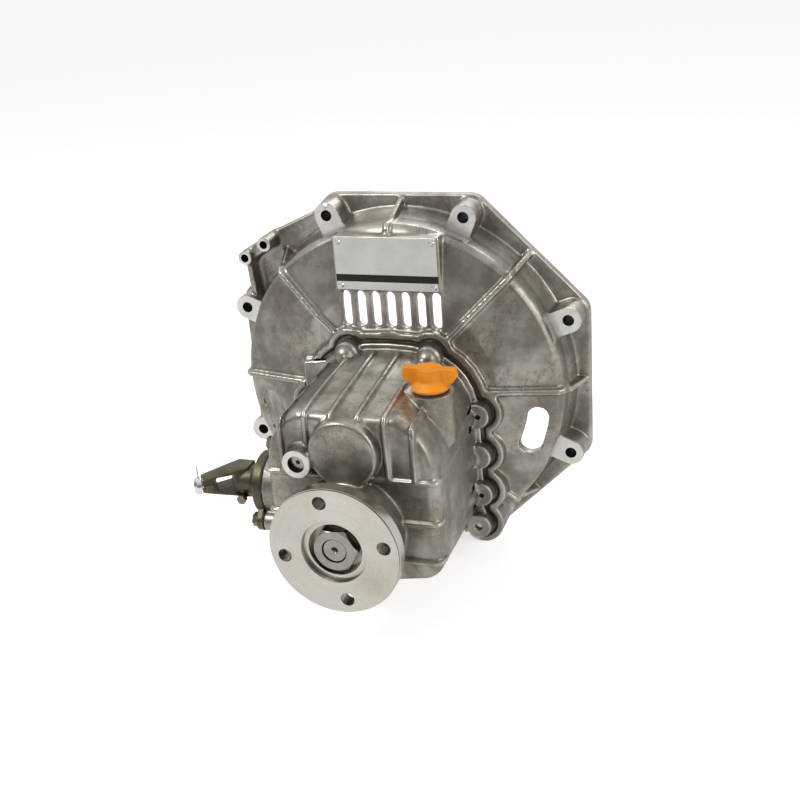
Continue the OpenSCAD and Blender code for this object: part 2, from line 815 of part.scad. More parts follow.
module gear_case() {
    color(cast_colour) aft() difference() {
        union() {
            case_loft(0, case_seat, case_end);
            case_ribs();
            translate([0, 0, case_seat]) linear_extrude(flange_t) {
                case_flange(0);
                case_tab(0);
            }
            each_ear() rod(ear_r, case_seat, case_seat + ear_t);
            each_dowel() rod(ear_r, case_seat, case_seat + ear_t);
            ear_columns();
            rod(bulge_r, inner_end, bulge_face - bulge_edge);
            translate([0, 0, bulge_face - bulge_edge])
                cylinder(r1 = bulge_r, r2 = bulge_r - bulge_edge, h = bulge_edge);
            on_idler() translate([0, 0, inner_end])
                cylinder(r1 = idler_boss_r + boss_flare, r2 = idler_boss_r, h = idler_flare_len);
            on_idler() rod(idler_boss_r, inner_end, idler_face);
            on_output() translate([0, 0, inner_end])
                cylinder(r1 = output_boss_r + boss_flare, r2 = output_boss_r, h = boss_len);
            cover_boss();
            filler_boss();
            drain_boss();
        }
        case_cavity();
        translate([filler_x, 0, filler_z]) {
            rod_y(filler_d / 2, -filler_y, filler_y + cut);
            rod_y(filler_boss_d / 2 + boss_flare, filler_y, 2 * filler_y);
        }
        on_shift() rod_x(cover_r - cover_lip, -cover_x - cut, -case_w / 2);
        each_cover_bolt() rod_x(cover_bolt_hole_r, -cover_x - cut, -cover_x + cover_bolt_grip + cut);
        rod(input_bearing_d / 2, input_rear_z, input_rear_z + input_bearing_w + bulge_edge);
        on_output() rod(output_rear_bearing_d / 2, bearing_z, bearing_z + output_bearing_w);
        on_output() rod(output_seal_r, bearing_z - cut, output_boss_end + cut);
        on_idler() rod(idler_d / 2 + seat_play, inner_end - case_wall, idler_face + cut);
        each_ear() rod(case_bolt_d / 2 + seat_play, case_seat - cut, case_seat + case_bolt_grip + cut);
        each_dowel() rod(dowel_d / 2 + seat_play, case_seat - cut, case_seat + ear_t + cut);
        translate([0, 0, drain_z]) rod_y(drain_r + seat_play, drain_face - cut, centre_y);
    }
}

// Hollow of the case, with room for the idler beside its wall
module case_cavity() {
    case_loft(-case_wall, case_seat - cut, inner_end);
    on_idler() rod(tip_r(idler_teeth) + gear_room / 2, rev_z0 - rim_room, inner_end);
    on_output() rod(tip_r(fwd_gear_teeth) + gear_room * 0.7, case_seat - cut, fwd_z1 + gear_room);
    on_output() rod(tip_r(rev_gear_teeth) + gear_room * 0.7, rev_mouth_z - rim_room, inner_end);
}

// Roof ribs that bend down over the aft face, and ledges round the lower case
module case_ribs() {
    intersection() {
        case_loft(case_rib_h, case_seat, case_end + case_rib_h);
        union() {
            for (i = [-2.5:2.5])
                translate([i * roof_rib_pitch - case_rib_w / 2, ledge_rows[0], case_seat + aft_round])
                cube([case_rib_w, 2 * roof_front, case_len]);
            for (y = ledge_rows)
                translate([-2 * case_w, y - case_rib_w / 2, case_end - aft_round - ledge_reach])
                cube([4 * case_w, case_rib_w, case_len]);
        }
    }
}

// Tapered columns behind the ears
module ear_columns() {
    for (s = [-1, 1], y = ear_rows) translate([s * (case_w - column_sink), y, case_seat])
        cylinder(r1 = ear_r, r2 = ear_r - column_sink, h = case_len / 2);
    for (s = [-1, 1]) translate([s * roof_ear[0], roof_ear[1], case_seat]) {
        cylinder(r1 = ear_r, r2 = ear_r - boss_flare / 2, h = ear_t);
        translate([0, 0, ear_t]) sphere(r = ear_r - boss_flare / 2);
    }
}

// Seat of the side cover on the left wall
module cover_boss() {
    on_shift() rod_x(cover_r, -cover_x, -case_w + 2 * case_wall);
    each_cover_bolt() rod_x(cover_lobe_r, -cover_x, -case_w + case_wall);
}

module filler_boss() {
    translate([filler_x, 0, filler_z]) rod_y(filler_boss_d / 2, -filler_y / 3, filler_y);
}

module drain_boss() {
    translate([0, 0, drain_z]) rod_y(drain_boss_r, drain_face, -floor_y + case_wall);
}

module case_gasket() {
    color(rubber_colour) aft() difference() {
        translate([0, 0, seat_z]) linear_extrude(gasket_t) case_flange(-pass_gap);
        translate([0, 0, seat_z - cut]) linear_extrude(gasket_t + 2 * cut)
            polygon(case_section(-case_wall - cut, front_bow, roof_front));
        on_output() rod(tip_r(fwd_gear_teeth) + gear_room, seat_z - cut, case_seat + cut);
        each_ear() rod(case_bolt_d / 2 + pass_gap, seat_z - cut, case_seat + cut);
        each_dowel() rod(dowel_d / 2 + pass_gap, seat_z - cut, case_seat + cut);
    }
}

module case_bolts() {
    color(steel_colour) aft() each_ear() {
        hex(case_bolt_d * 1.5, bolt_seat - case_bolt_d * 0.7, bolt_seat);
        rod(case_bolt_d / 2, bolt_seat, case_seat + case_bolt_grip);
    }
}

module dowel_pins() {
    color(race_colour) aft() each_dowel() rod(dowel_d / 2, seat_z - dowel_grip, case_seat + dowel_grip);
}

module nameplate() {
    color(race_colour) aft() difference() {
        translate([0, plate_mid, 0]) block(plate_w, plate_h, plate_back, plate_back + plate_t);
        for (p = rivet_places) translate([p[0], p[1], 0]) rod(rivet_r + seat_play, plate_back - cut, seat_z);
    }
}

module plate_rivets() {
    top = plate_back + plate_t;
    color(steel_colour) aft() for (p = rivet_places) translate([p[0], p[1], 0]) {
        rod(rivet_r, plate_back - rivet_len, top);
        translate([0, 0, top]) cylinder(r1 = rivet_d / 2, r2 = rivet_d / 3, h = rivet_d / 4);
    }
}

module input_seal() {
    color(rubber_colour) aft()
        tube(input_seal_r - seat_play, input_d / 2 + run_play, input_seal_z, input_front_z - pass_gap);
}

module output_seal() {
    z0 = bearing_z + output_bearing_w + output_seal_gap;
    color(rubber_colour) aft() on_output()
        tube(output_seal_r - seat_play, hub_r + run_play, z0, output_boss_end - pass_gap);
}

// Ball bearing: outer race with its groove, and inner race with its cage of balls
function ball_r(bore, od) = (od - bore) * 0.15;
function ball_ring_r(bore, od) = (od + bore) / 4;

module ball_outer(bore, od, w, z) {
    rb = ball_r(bore, od);
    rm = ball_ring_r(bore, od);
    translate([0, 0, z]) difference() {
        tube(od / 2, rm + 0.62 * rb, 0, w);
        translate([0, 0, w / 2]) rotate_extrude() translate([rm, 0]) circle(r = rb + 0.2, $fn = 24);
    }
}

module ball_inner(bore, od, w, z) {
    rb = ball_r(bore, od);
    rm = ball_ring_r(bore, od);
    translate([0, 0, z]) {
        tube(rm - 0.62 * rb, bore / 2, 0, w);
        tube(rm + 0.3 * rb, rm - 0.3 * rb, w / 2 - rb * 0.7, w / 2 + rb * 0.7);
        for (k = [0:8]) rotate(40 * k) translate([rm, 0, w / 2]) sphere(r = rb, $fn = 24);
    }
}

// Taper roller bearing: cup, and cone with its rollers, wide end at the aft side
function roll_t(bore, od) = (od - bore) / 2;

module roller_cup(bore, od, w) {
    t = roll_t(bore, od);
    rotate_extrude() polygon([
        [od / 2, 0], [od / 2, w], [bore / 2 + 0.78 * t, w], [bore / 2 + 0.66 * t, 0]]);
}

module roller_cone(bore, od, w) {
    t = roll_t(bore, od);
    lean = atan(0.12 * t / w);
    rotate_extrude() polygon([
        [bore / 2, 0], [bore / 2, w], [bore / 2 + 0.38 * t, w], [bore / 2 + 0.26 * t, 0]]);
    for (k = [0:11]) rotate(30 * k) translate([bore / 2 + 0.44 * t, 0, 1.2]) rotate([0, lean, 0])
        cylinder(r = 0.19 * t, h = w - 2.4, $fn = 24);
}

module input_front_race() {
    color(race_colour) aft() ball_outer(input_d, input_race_d, input_bearing_w, input_front_z);
}

module input_front_bearing() {
    color(race_colour) aft() ball_inner(input_d, input_race_d, input_bearing_w, input_front_z);
}

module input_rear_race() {
    color(race_colour) aft() ball_outer(input_rear_d, input_race_d, input_bearing_w, input_rear_z);
}

module input_rear_bearing() {
    color(race_colour) aft() ball_inner(input_rear_d, input_race_d, input_bearing_w, input_rear_z);
}

module output_front_cup() {
    color(race_colour) aft() on_output() translate([0, 0, front_bearing_z])
        roller_cup(output_front_d, front_race_d, output_bearing_w);
}

module output_front_bearing() {
    color(race_colour) aft() on_output() translate([0, 0, front_bearing_z])
        roller_cone(output_front_d, front_race_d, output_bearing_w);
}

module output_rear_cup() {
    color(race_colour) aft() on_output() translate([0, 0, bearing_z + output_bearing_w]) mirror([0, 0, 1])
        roller_cup(output_d, rear_race_d, output_bearing_w);
}

module output_rear_bearing() {
    color(race_colour) aft() on_output() translate([0, 0, bearing_z + output_bearing_w]) mirror([0, 0, 1])
        roller_cone(output_d, rear_race_d, output_bearing_w);
}

// Input shaft with its spline and both pinions
module input_shaft() {
    r = input_d / 2;
    fwd0 = fwd_z0 - 1;
    fwd1 = fwd_z1 + 1;
    neck_z = rev_z0 - 3;
    slim_r = root_r(rev_pinion_teeth) - pass_gap;
    nose_z = 6;
    spline_z0 = nose_z + 2 * cut;
    spline_z1 = 31;
    spline_h = 1.8;
    neck_len = 4;
    collar_h = 3;
    color(gear_colour) aft() difference() {
        union() {
            spline(spline_teeth, spline_d / 2, spline_d / 2 - spline_h, spline_z0, spline_z1);
            rod(spline_d / 2 - 2 * spline_h, nose_z, spline_z1);
            translate([0, 0, spline_z1 - neck_len])
                cylinder(r1 = spline_d / 2 - 2 * spline_h, r2 = r, h = 2 * neck_len);
            rod(r, spline_z1 + neck_len - cut, seat_z + cut);
            rod(r + collar_h, seat_z + pass_gap, fwd0 + cut);
            gear(fwd_pinion_teeth, 270, fwd0, fwd1);
            rod(r, fwd1 - cut, neck_z);
            translate([0, 0, neck_z - cut]) cylinder(r1 = r - cut, r2 = slim_r - cut, h = neck_len);
            rod(slim_r, neck_z - cut, rev_z0 + cut);
            gear(rev_pinion_teeth, idler_dir, rev_z0 - 2 * end_play, rev_z1 + 2 * end_play);
            rod(input_rear_d / 2, rev_z1 - cut, input_rear_z + input_bearing_w);
        }
        translate([0, 0, nose_z - cut]) cylinder(r1 = centre_depth * 0.7, r2 = skin, h = centre_depth + cut);
    }
}

// Output shaft with its journals, cone spline and threaded end
module output_shaft() {
    color(steel_colour) aft() on_output() difference() {
        union() {
            rod(output_front_d / 2, front_bearing_z, seat_z);
            rod(output_r, seat_z, bearing_z + output_bearing_w);
            cone_spline(0, fwd_mouth_z + cone_lap, rev_mouth_z - cone_lap);
            rod(spline_root_r, bearing_z + output_bearing_w, nut_seat);
            rod(thread_d / 2, nut_seat, nut_end - bulge_edge);
            translate([0, 0, nut_end - bulge_edge])
                cylinder(r1 = thread_d / 2, r2 = thread_d / 2 - cut, h = cut);
        }
        translate([0, 0, nut_end - centre_depth])
            cylinder(r1 = skin, r2 = centre_depth * 0.7, h = centre_depth);
    }
}

// Spline that carries the drive cone, grown by d
module cone_spline(d, z0, z1) {
    spline(cone_spline_teeth, output_r + cone_spline_h + d, output_r - cone_spline_sink + d, z0, z1);
}

module front_spacer() {
    color(steel_colour) aft() on_output()
        tube(output_r + spacer_wall, output_r, seat_z + end_play, fwd_z0 - front_washer_t - pass_gap);
}

// Hardened washers either side of the two clutch gears
module thrust_washers() {
    color(race_colour) aft() on_output() {
        tube(output_r + thrust_wall, output_r, fwd_z0 - front_washer_t - pass_gap, fwd_z0 - pass_gap);
        tube(output_r + thrust_wall, output_r, rev_z1 + pass_gap, bearing_z);
    }
}

// Clutch gear: toothed rim, hub and a female cone on the clutch side
module clutch_gear(teeth, turn, face, mouth) {
    ring_r = cone_mouth_r + cone_ring;
    difference() {
        union() {
            gear(teeth, turn, 0, face);
            rod(ring_r, 0, mouth);
        }
        rod(gear_bore_r, -cut, mouth + cut);
        translate([0, 0, mouth - cone_depth])
            cylinder(r1 = cone_mouth_r - cone_drop, r2 = cone_mouth_r, h = cone_depth + skin);
        tube(ring_r - web_side, gear_bore_r + web_side, -cut, web_cut);
    }
}

module forward_gear() {
    color(gear_colour) aft() on_output() translate([0, 0, fwd_z0])
        clutch_gear(fwd_gear_teeth, 90 + 180 / fwd_gear_teeth, fwd_face, fwd_mouth_z - fwd_z0);
}

module reverse_gear() {
    color(gear_colour) aft() on_output() translate([0, 0, rev_z1]) mirror([0, 0, 1])
        clutch_gear(rev_gear_teeth, rev_gear_turn, rev_face, rev_z1 - rev_mouth_z);
}

// Caged needle rollers between a shaft and a gear bore
module needle_set(shaft_r, count, z0, z1) {
    rm = shaft_r + needle_d / 2 + run_play;
    cage = needle_d / 4;
    tube(rm + cage, rm - cage, z0, z1);
    for (k = [0:count - 1]) rotate(360 * k / count) translate([rm, 0, 0])
        rod(needle_d / 2, z0 + cage, z1 - cage, $fn = 16);
}

module forward_needles() {
    color(race_colour) aft() on_output()
        needle_set(output_r, needle_count, fwd_z0 + end_play, fwd_mouth_z - cone_depth - end_play);
}

module reverse_needles() {
    color(race_colour) aft() on_output()
        needle_set(output_r, needle_count, rev_mouth_z + cone_depth + end_play, rev_z1 - end_play);
}

module idler_gear() {
    color(gear_colour) aft() on_idler() difference() {
        gear(idler_teeth, idler_turn, rev_z0 + end_play, rev_z1 - end_play);
        rod(idler_bore_r, rev_z0 - cut, rev_z1 + cut);
    }
}

module idler_needles() {
    color(race_colour) aft() on_idler()
        needle_set(idler_d / 2, idler_needle_count, rev_z0 + 2 * end_play, rev_z1 - 2 * end_play);
}

module idler_shaft() {
    color(steel_colour) aft() on_idler() difference() {
        rod(idler_d / 2, clip_z - clip_w, idler_face - idler_recess);
        translate([0, 0, idler_face - idler_recess - clip_w])
            cylinder(r1 = skin, r2 = clip_w / 2, h = clip_w + skin);
        tube(idler_d, clip_r, clip_z, clip_z + clip_t);
        tube(idler_d, o_ring_r, o_ring_z, o_ring_z + o_ring_w);
    }
}

module idler_snap_ring() {
    color(steel_colour) aft() on_idler() difference() {
        tube(clip_r + clip_w, clip_r + seat_play, clip_z + seat_play, clip_z + clip_t - seat_play);
        translate([idler_d / 2, 0, 0]) block(idler_d, clip_w, clip_z - cut, case_end);
    }
}

module idler_o_ring() {
    color(rubber_colour) aft() on_idler()
        tube(idler_d / 2, o_ring_r + seat_play, o_ring_z + seat_play, o_ring_z + o_ring_w - seat_play);
}

// Double male cone with the shifter groove, sliding on the output spline
module drive_cone() {
    reach = cone_gap + cone_depth - shift_travel - cone_tip_room;
    mouth = cone_gap - shift_travel - cone_mouth_room;
    drop = cone_drop / cone_depth;
    function face_r(dist) = cone_mouth_r - cone_clear - drop * (dist - cone_gap + shift_travel);
    color(steel_colour) aft() on_output() translate([0, 0, shift_z]) difference() {
        for (s = [0, 1]) mirror([0, 0, s]) {
            rod(cone_mouth_r, -skin, mouth);
            translate([0, 0, mouth]) cylinder(r1 = face_r(mouth), r2 = face_r(reach), h = reach - mouth);
        }
        cone_spline(run_play, -2 * reach, 2 * reach);
        rod(output_r + run_play, -2 * reach, 2 * reach);
        tube(2 * cone_mouth_r, cone_mouth_r - groove_depth, -groove_w / 2, groove_w / 2);
    }
}

// Turned steel coupling with its bolt holes, centring recess and seal hub
module output_coupling() {
    back = coupling_z - coupling_t;
    hub_z = bearing_z + output_bearing_w;
    color(steel_colour) aft() on_output() difference() {
        union() {
            rod(coupling_d / 2 - coupling_edge, back, coupling_z);
            rod(coupling_d / 2, back + coupling_edge, coupling_z - coupling_edge);
            rod(hub_r, hub_z, back);
            translate([0, 0, back - hub_flare_len])
                cylinder(r1 = hub_r, r2 = hub_r + hub_flare, h = hub_flare_len);
        }
        rod(pilot_d / 2, coupling_z - pilot_depth, coupling_z + cut);
        rod(nut_room_r, nut_seat, coupling_z + cut);
        rod(spline_root_r + seat_play, hub_z - cut, coupling_z + cut);
        for (k = [0:3]) rotate(90 + coupling_turn + 90 * k) translate([coupling_pcd / 2, 0, 0])
            rod(coupling_hole_d / 2, back - cut, coupling_z + cut);
    }
}

module coupling_washer() {
    color(race_colour) aft() on_output() tube(hub_r, thread_d / 2 + seat_play, nut_seat, nut_seat + washer_t);
}

module coupling_nut() {
    z0 = nut_seat + washer_t;
    edge_z = nut_end - bulge_edge;
    color(steel_colour) aft() on_output() difference() {
        intersection() {
            hex(nut_af, z0, nut_end);
            union() {
                rod(nut_corner_r, z0, edge_z);
                translate([0, 0, edge_z]) cylinder(r1 = nut_corner_r, r2 = nut_af / 2, h = bulge_edge);
            }
        }
        rod(thread_d / 2 + seat_play, z0 - cut, coupling_z);
    }
}

// Side cover with its two bolt lobes and the hub of the shift shaft
module side_cover() {
    neck_x = -cover_x - cover_t - cover_neck_len;
    seat_x = -cover_x - cover_gasket_t;
    color(dark_colour) aft() difference() {
        union() {
            on_shift() rod_x(cover_r, -cover_x - cover_t, seat_x);
            on_shift() rod_x(cover_r - cover_lip - seat_play, seat_x, -cover_x + spigot_len);
            on_shift() translate([-cover_x - cover_t, 0, 0]) rotate([0, -90, 0])
                cylinder(r1 = cover_r - cover_edge, r2 = cover_neck_r, h = cover_neck_len);
            each_cover_bolt() rod_x(cover_lobe_r, lobe_x, seat_x);
            on_shift() for (d = cover_bolt_dir) rotate([atan2(d[1], d[0]), 0, 0])
                translate([lobe_x, 0, -cover_lobe_r]) cube([seat_x - lobe_x, cover_bolt_r, 2 * cover_lobe_r]);
        }
        on_shift() rod_x(shift_d / 2 + run_play, neck_x - cut, -case_w / 2);
        on_shift() rod_x(shift_d / 2 + shift_seal_wall, neck_x - cut, neck_x + cover_edge);
        on_shift() rod_x(cover_r - 2 * cover_edge, -cover_x + spigot_sink, -case_w / 2);
        each_cover_bolt() rod_x(cover_bolt_hole_r + pass_gap / 2, neck_x, -cover_x + cover_t);
    }
}

module side_cover_gasket() {
    color(rubber_colour) aft() difference() {
        union() {
            on_shift() rod_x(cover_r, -cover_x - cover_gasket_t, -cover_x);
            each_cover_bolt() rod_x(cover_lobe_r, -cover_x - cover_gasket_t, -cover_x);
        }
        on_shift() rod_x(cover_r - cover_lip + seat_play, -cover_x - 2 * cover_gasket_t, -cover_x + cut);
        each_cover_bolt()
            rod_x(cover_bolt_hole_r + pass_gap / 2, -cover_x - 2 * cover_gasket_t, -cover_x + cut);
    }
}

module side_cover_bolts() {
    color(dark_colour) aft() each_cover_bolt() {
        rod_x(cover_bolt_d / 2, lobe_x, -cover_x + cover_bolt_grip);
        translate([lobe_x, 0, 0]) rotate([0, -90, 0]) {
            rod(cover_bolt_r - cover_r - pass_gap, 0, cover_gasket_t);
            hex(cover_bolt_d * 1.67, 0, cover_bolt_d * 0.8);
        }
    }
}

module shift_shaft_seal() {
    neck_x = -cover_x - cover_t - cover_neck_len;
    color(rubber_colour) aft() on_shift() difference() {
        rod_x(shift_d / 2 + shift_seal_wall - seat_play, neck_x, neck_x + cover_edge - end_play);
        rod_x(shift_d / 2 + run_play, neck_x - cut, -case_w / 2);
    }
}

module shift_shaft() {
    color(steel_colour) aft() on_shift() rod_x(shift_d / 2, lever_x - lever_hub_len, shaft_end);
}

// Crank on the inner end of the shift shaft, with its pin in the drive cone's groove
module shifter() {
    color(gear_colour) aft() on_shift() difference() {
        union() {
            rod_x(shift_d / 2 + crank_wall, crank_x0, crank_x1);
            translate([0, -shift_throw, 0])
                rod_x(groove_w / 2 - crank_pin_play, crank_x1 - cut, -cone_mouth_r + crank_pin_lap);
        }
        rod_x(shift_d / 2 + seat_play, crank_x0 - cut, shaft_end + seat_play);
    }
}

// Tapered shift lever with its clamp hub, window and slit
module shift_lever() {
    hub_x0 = lever_x - lever_hub_len;
    color(dark_colour) aft() on_shift() difference() {
        union() {
            rod_x(lever_hub_r, hub_x0, lever_x);
            translate([lever_x - lever_tip_len, 0, 0]) lever_arm();
        }
        rod_x(shift_d / 2 + seat_play, hub_x0 - cut, lever_x + cut);
        translate([lever_x, 0, 0]) lever_cuts();
        translate([hub_x0 - cut, -2 * lever_hub_r, -slit_w / 2])
            cube([lever_hub_len + 2 * cut, 2 * lever_hub_r, slit_w]);
        translate([pinch_x, -lever_hub_r + pinch_drop, 0])
            rod(pinch_d / 2 + seat_play, -2 * lever_h, 2 * lever_h);
    }
}

module lever_arm() {
    hull() {
        translate([-lever_root, -lever_h / 2 + cut, -lever_hub_r + lever_hub_wall - cut])
            cube([lever_root, lever_h - cut, lever_t]);
        rotate([0, lever_turn, 0]) translate([-lever_len, lever_rise, 0]) rotate([0, 90, 0])
            translate([0, 0, -lever_tip_len / 2]) intersection() {
                cylinder(r = lever_tip_h / 2, h = lever_tip_len, $fn = 32);
                block(lever_tip_t, lever_tip_h, 0, lever_tip_len);
            }
    }
}

module lever_cuts() {
    rotate([0, lever_turn, 0])
        translate([-lever_len + lever_window_in, lever_rise - lever_window_h / 2, -2 * lever_t])
        cube([lever_len / 2 - lever_hub_wall, lever_window_h, 4 * lever_t]);
    rotate([0, lever_turn, 0]) translate([0, lever_rise, 0])
        rod_x(pin_d / 2 + seat_play, -lever_len - lever_tip_t, -lever_len + cut * 2);
}

module lever_pinch_bolt() {
    color(dark_colour) aft() on_shift() translate([pinch_x, -lever_hub_r + pinch_drop, 0]) {
        rod(pinch_d / 2, -lever_hub_r, lever_hub_r + cut);
        hex(pinch_af, lever_hub_r + cut, lever_hub_r + cut + pinch_head);
    }
}

// Cable pin in the tip of the lever, with a domed head
module cable_pin() {
    head_x = -lever_len - pin_head_z;
    color(race_colour) aft() on_shift() translate([lever_x, 0, 0]) rotate([0, lever_turn, 0])
        translate([0, lever_rise, 0]) {
            rod_x(pin_d / 2, head_x, -lever_len + cut);
            rod_x(pin_head_r, head_x - pin_head_t, head_x);
            translate([head_x - pin_head_t, 0, 0]) rotate([0, -90, 0])
                cylinder(r1 = pin_head_r, r2 = pin_head_r - pin_dome, h = pin_dome);
        }
}

module cotter_pin() {
    color(race_colour) aft() on_shift() translate([lever_x, 0, 0]) rotate([0, lever_turn, 0])
        translate([-lever_len - pin_head_z - pin_head_t / 2, lever_rise, 0])
        rod_y(cotter_r, pin_head_r, pin_head_r + cotter_len, $fn = 16);
}

module drain_plug() {
    head = drain_face - drain_washer_t;
    color(steel_colour) aft() translate([0, 0, drain_z]) {
        rod_y(drain_r, head, drain_face + drain_thread);
        rotate([90, 0, 0]) hex(drain_af, -head, -head + drain_head);
    }
}

module drain_washer() {
    color(copper_colour) aft() translate([0, 0, drain_z]) difference() {
        rod_y(drain_washer_r, drain_face - drain_washer_t, drain_face);
        rod_y(drain_r + seat_play, drain_face - drain_washer_t - cut, drain_face + cut);
    }
}

// Wing cap of the filler, with its plug
module filler_cap() {
    half = wing_w / 2;
    color(cap_colour) aft() translate([filler_x, filler_y, filler_z]) {
        rod_y(filler_d / 2 - plug_play, -plug_len, cap_seat);
        translate([0, cap_seat, 0]) rotate([-90, 0, 0]) cylinder(r1 = cap_r - cut, r2 = cap_r, h = cap_skirt);
        translate([0, cap_seat + cap_skirt, 0]) rotate([-90, 0, 0])
            cylinder(r1 = cap_r, r2 = cap_neck_r, h = cap_cone);
        rod_y(cap_neck_r - skin, wing_in, cap_top);
        translate([0, 0, -wing_t / 2]) linear_extrude(wing_t) polygon([
            [-cap_neck_r, wing_foot], [cap_neck_r, wing_foot], [half - wing_in, wing_low], [half, wing_mid],
            [half - wing_in / 2, cap_top], [-half + wing_in / 2, cap_top], [-half, wing_mid],
            [-half + wing_in, wing_low]]);
    }
}

module cap_seal() {
    color(rubber_colour) aft() translate([filler_x, filler_y, filler_z]) difference() {
        rod_y(cap_r - cap_seat, cap_lift, cap_seat);
        rod_y(filler_d / 2 - plug_play + seat_play, -cut, cap_seat + cut);
    }
}

module dipstick() {
    color(steel_colour) aft() translate([filler_x, filler_y, filler_z])
        rod_y(stick_r, -dipstick_len, -plug_len);
}

bell_housing();
gear_case();
case_gasket();
case_bolts();
dowel_pins();
nameplate();
plate_rivets();
input_seal();
output_seal();
input_front_race();
input_rear_race();
output_front_cup();
output_rear_cup();
idler_shaft();
idler_o_ring();
idler_snap_ring();
side_cover();
side_cover_gasket();
side_cover_bolts();
shift_shaft_seal();
drain_plug();
drain_washer();
input_shaft();
input_front_bearing();
input_rear_bearing();
output_shaft();
output_front_bearing();
output_rear_bearing();
front_spacer();
thrust_washers();
output_coupling();
coupling_washer();
coupling_nut();
forward_gear();
forward_needles();
reverse_gear();
reverse_needles();
idler_gear();
idler_needles();
drive_cone();
shift_shaft();
shifter();
shift_lever();
lever_pinch_bolt();
cable_pin();
cotter_pin();
filler_cap();
cap_seal();
dipstick();
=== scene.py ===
"""Marine gearbox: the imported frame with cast, machined, turned and moulded finishes."""
import json
import math

import bpy
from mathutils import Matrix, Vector


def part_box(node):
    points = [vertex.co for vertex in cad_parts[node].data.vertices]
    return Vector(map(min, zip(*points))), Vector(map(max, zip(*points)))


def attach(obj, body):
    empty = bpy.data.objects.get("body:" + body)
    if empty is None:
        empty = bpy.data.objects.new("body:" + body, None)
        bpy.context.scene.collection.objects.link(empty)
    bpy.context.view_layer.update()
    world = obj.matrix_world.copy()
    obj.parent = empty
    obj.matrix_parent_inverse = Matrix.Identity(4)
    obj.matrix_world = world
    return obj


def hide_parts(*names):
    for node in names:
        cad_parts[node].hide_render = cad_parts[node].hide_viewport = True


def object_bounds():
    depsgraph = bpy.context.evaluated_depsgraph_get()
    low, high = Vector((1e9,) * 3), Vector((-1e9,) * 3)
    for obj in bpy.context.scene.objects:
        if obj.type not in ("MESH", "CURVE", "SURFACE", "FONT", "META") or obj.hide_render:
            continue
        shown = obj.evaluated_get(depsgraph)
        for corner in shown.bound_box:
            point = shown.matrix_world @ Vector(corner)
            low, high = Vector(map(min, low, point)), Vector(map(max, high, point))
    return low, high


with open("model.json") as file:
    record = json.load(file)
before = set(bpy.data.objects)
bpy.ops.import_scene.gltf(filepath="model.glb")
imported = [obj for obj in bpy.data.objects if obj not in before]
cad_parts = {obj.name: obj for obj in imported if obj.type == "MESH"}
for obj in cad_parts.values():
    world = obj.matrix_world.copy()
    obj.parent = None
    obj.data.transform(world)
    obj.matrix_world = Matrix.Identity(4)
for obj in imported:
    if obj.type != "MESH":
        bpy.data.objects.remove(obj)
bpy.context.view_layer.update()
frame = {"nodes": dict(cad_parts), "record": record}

# Sizes are in millimetres, in the drawing's own directions: right, up and aft of the engine face.
MM = 0.001
MOUNTS = {mount["name"]: mount for mount in frame["record"]["mounts"]}
BOLT_CIRCLE_R = MOUNTS["engine_bolts"]["dims"]["pcd_mm"] / 2
BOLT_HOLE_R = MOUNTS["engine_bolts"]["dims"]["hole_r_mm"]
BOLT_COUNT = MOUNTS["engine_bolts"]["dims"]["count"]
LUG_HOLE_R = MOUNTS["upper_lug_hole"]["dims"]["r_mm"]
LUG_HOLE_DEPTH = MOUNTS["upper_lug_hole"]["dims"]["length_mm"]


def node_span(node, axis):
    """Lowest and highest drawing value of a CAD node along right, up or aft."""
    low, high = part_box(node)
    if axis == "right":
        return low.x / MM, high.x / MM
    if axis == "up":
        return low.z / MM, high.z / MM
    return -high.y / MM, -low.y / MM


def at(right, up, aft):
    """A point of the drawing, in the frame."""
    return Vector((right, -aft, up)) * MM


PAD_AFT = -MOUNTS["upper_lug_hole"]["pos_m"][1] / MM
PAD_R = 10.4
PAD_REACH = 14
PAD_RELIEF = 0.6
PAD_ALLOWANCE = 0.9
PAD_ROOT = 6
PAD_UNDERSIZE = 0.1
FIRST_PAD_TURN = 22.5
DRILL_OVERRUN = 3
DRILL_ENTRY = 5
PLUG_INSET = 1
LUG_R = 6.2
LUG_ROOT_AFT = 4
LUG_FACE_MARGIN = 1.6
LUG_FACE_CLEAR = 12
FACE_SKIM = 0.5
FACE_MILL_REACH = 170
FACE_MILL_DEPTH = 8
SEAT_AFT = node_span("case_gasket", "aft")[0]
CASE_SEAT_AFT = node_span("case_gasket", "aft")[1]
IDLER_RECESS = 4
IDLER_AFT = node_span("idler_shaft", "aft")[1] + IDLER_RECESS
IDLER_R = 6.5
IDLER_WALL = 4.5
IDLER_BORE_PLAY = 0.05
IDLER_BORE_DEPTH = 30
IDLER_FACE_CLEAR = 9
BOSS_ROOT = 8
BULGE_AFT = node_span("gear_case", "aft")[1]
BULGE_DEPTH = 14
BULGE_R = 34
SEAT_MILL_RIGHT = 140
SEAT_MILL_UP = (-120, 80)
FILLER_SKIM = 0.1
FILLER_UP = node_span("cap_seal", "up")[0] - FILLER_SKIM
FILLER_R = 17
FILLER_BORE_R = 9
FILLER_BORE_DEPTH = 40
FILLER_FACE_MARGIN = 2.4
FILLER_FACE_CLEAR = 24
EAR_RIGHT = 69.5
EAR_ROWS = (-12, -80)
EAR_THICK = 11
EAR_AFT = CASE_SEAT_AFT + EAR_THICK
EAR_GROOVE = 1.3
EAR_GROOVE_IN = 4
EAR_GROOVE_HALF = 11
EAR_GROOVE_DEPTH = 1.2
EAR_GROOVE_CLEAR = 9
EJECTOR_R = 2.1
EJECTOR_OUT = 1.5
EJECTOR_DEPTH = 0.9
EJECTOR_CLEAR = 4
EJECTOR_SIDES = 24
CABLE_END = Vector(MOUNTS["cable_end"]["pos_m"])
LEVER_SWEEP = math.radians(33)
PIN_BOSS_R = 4.7
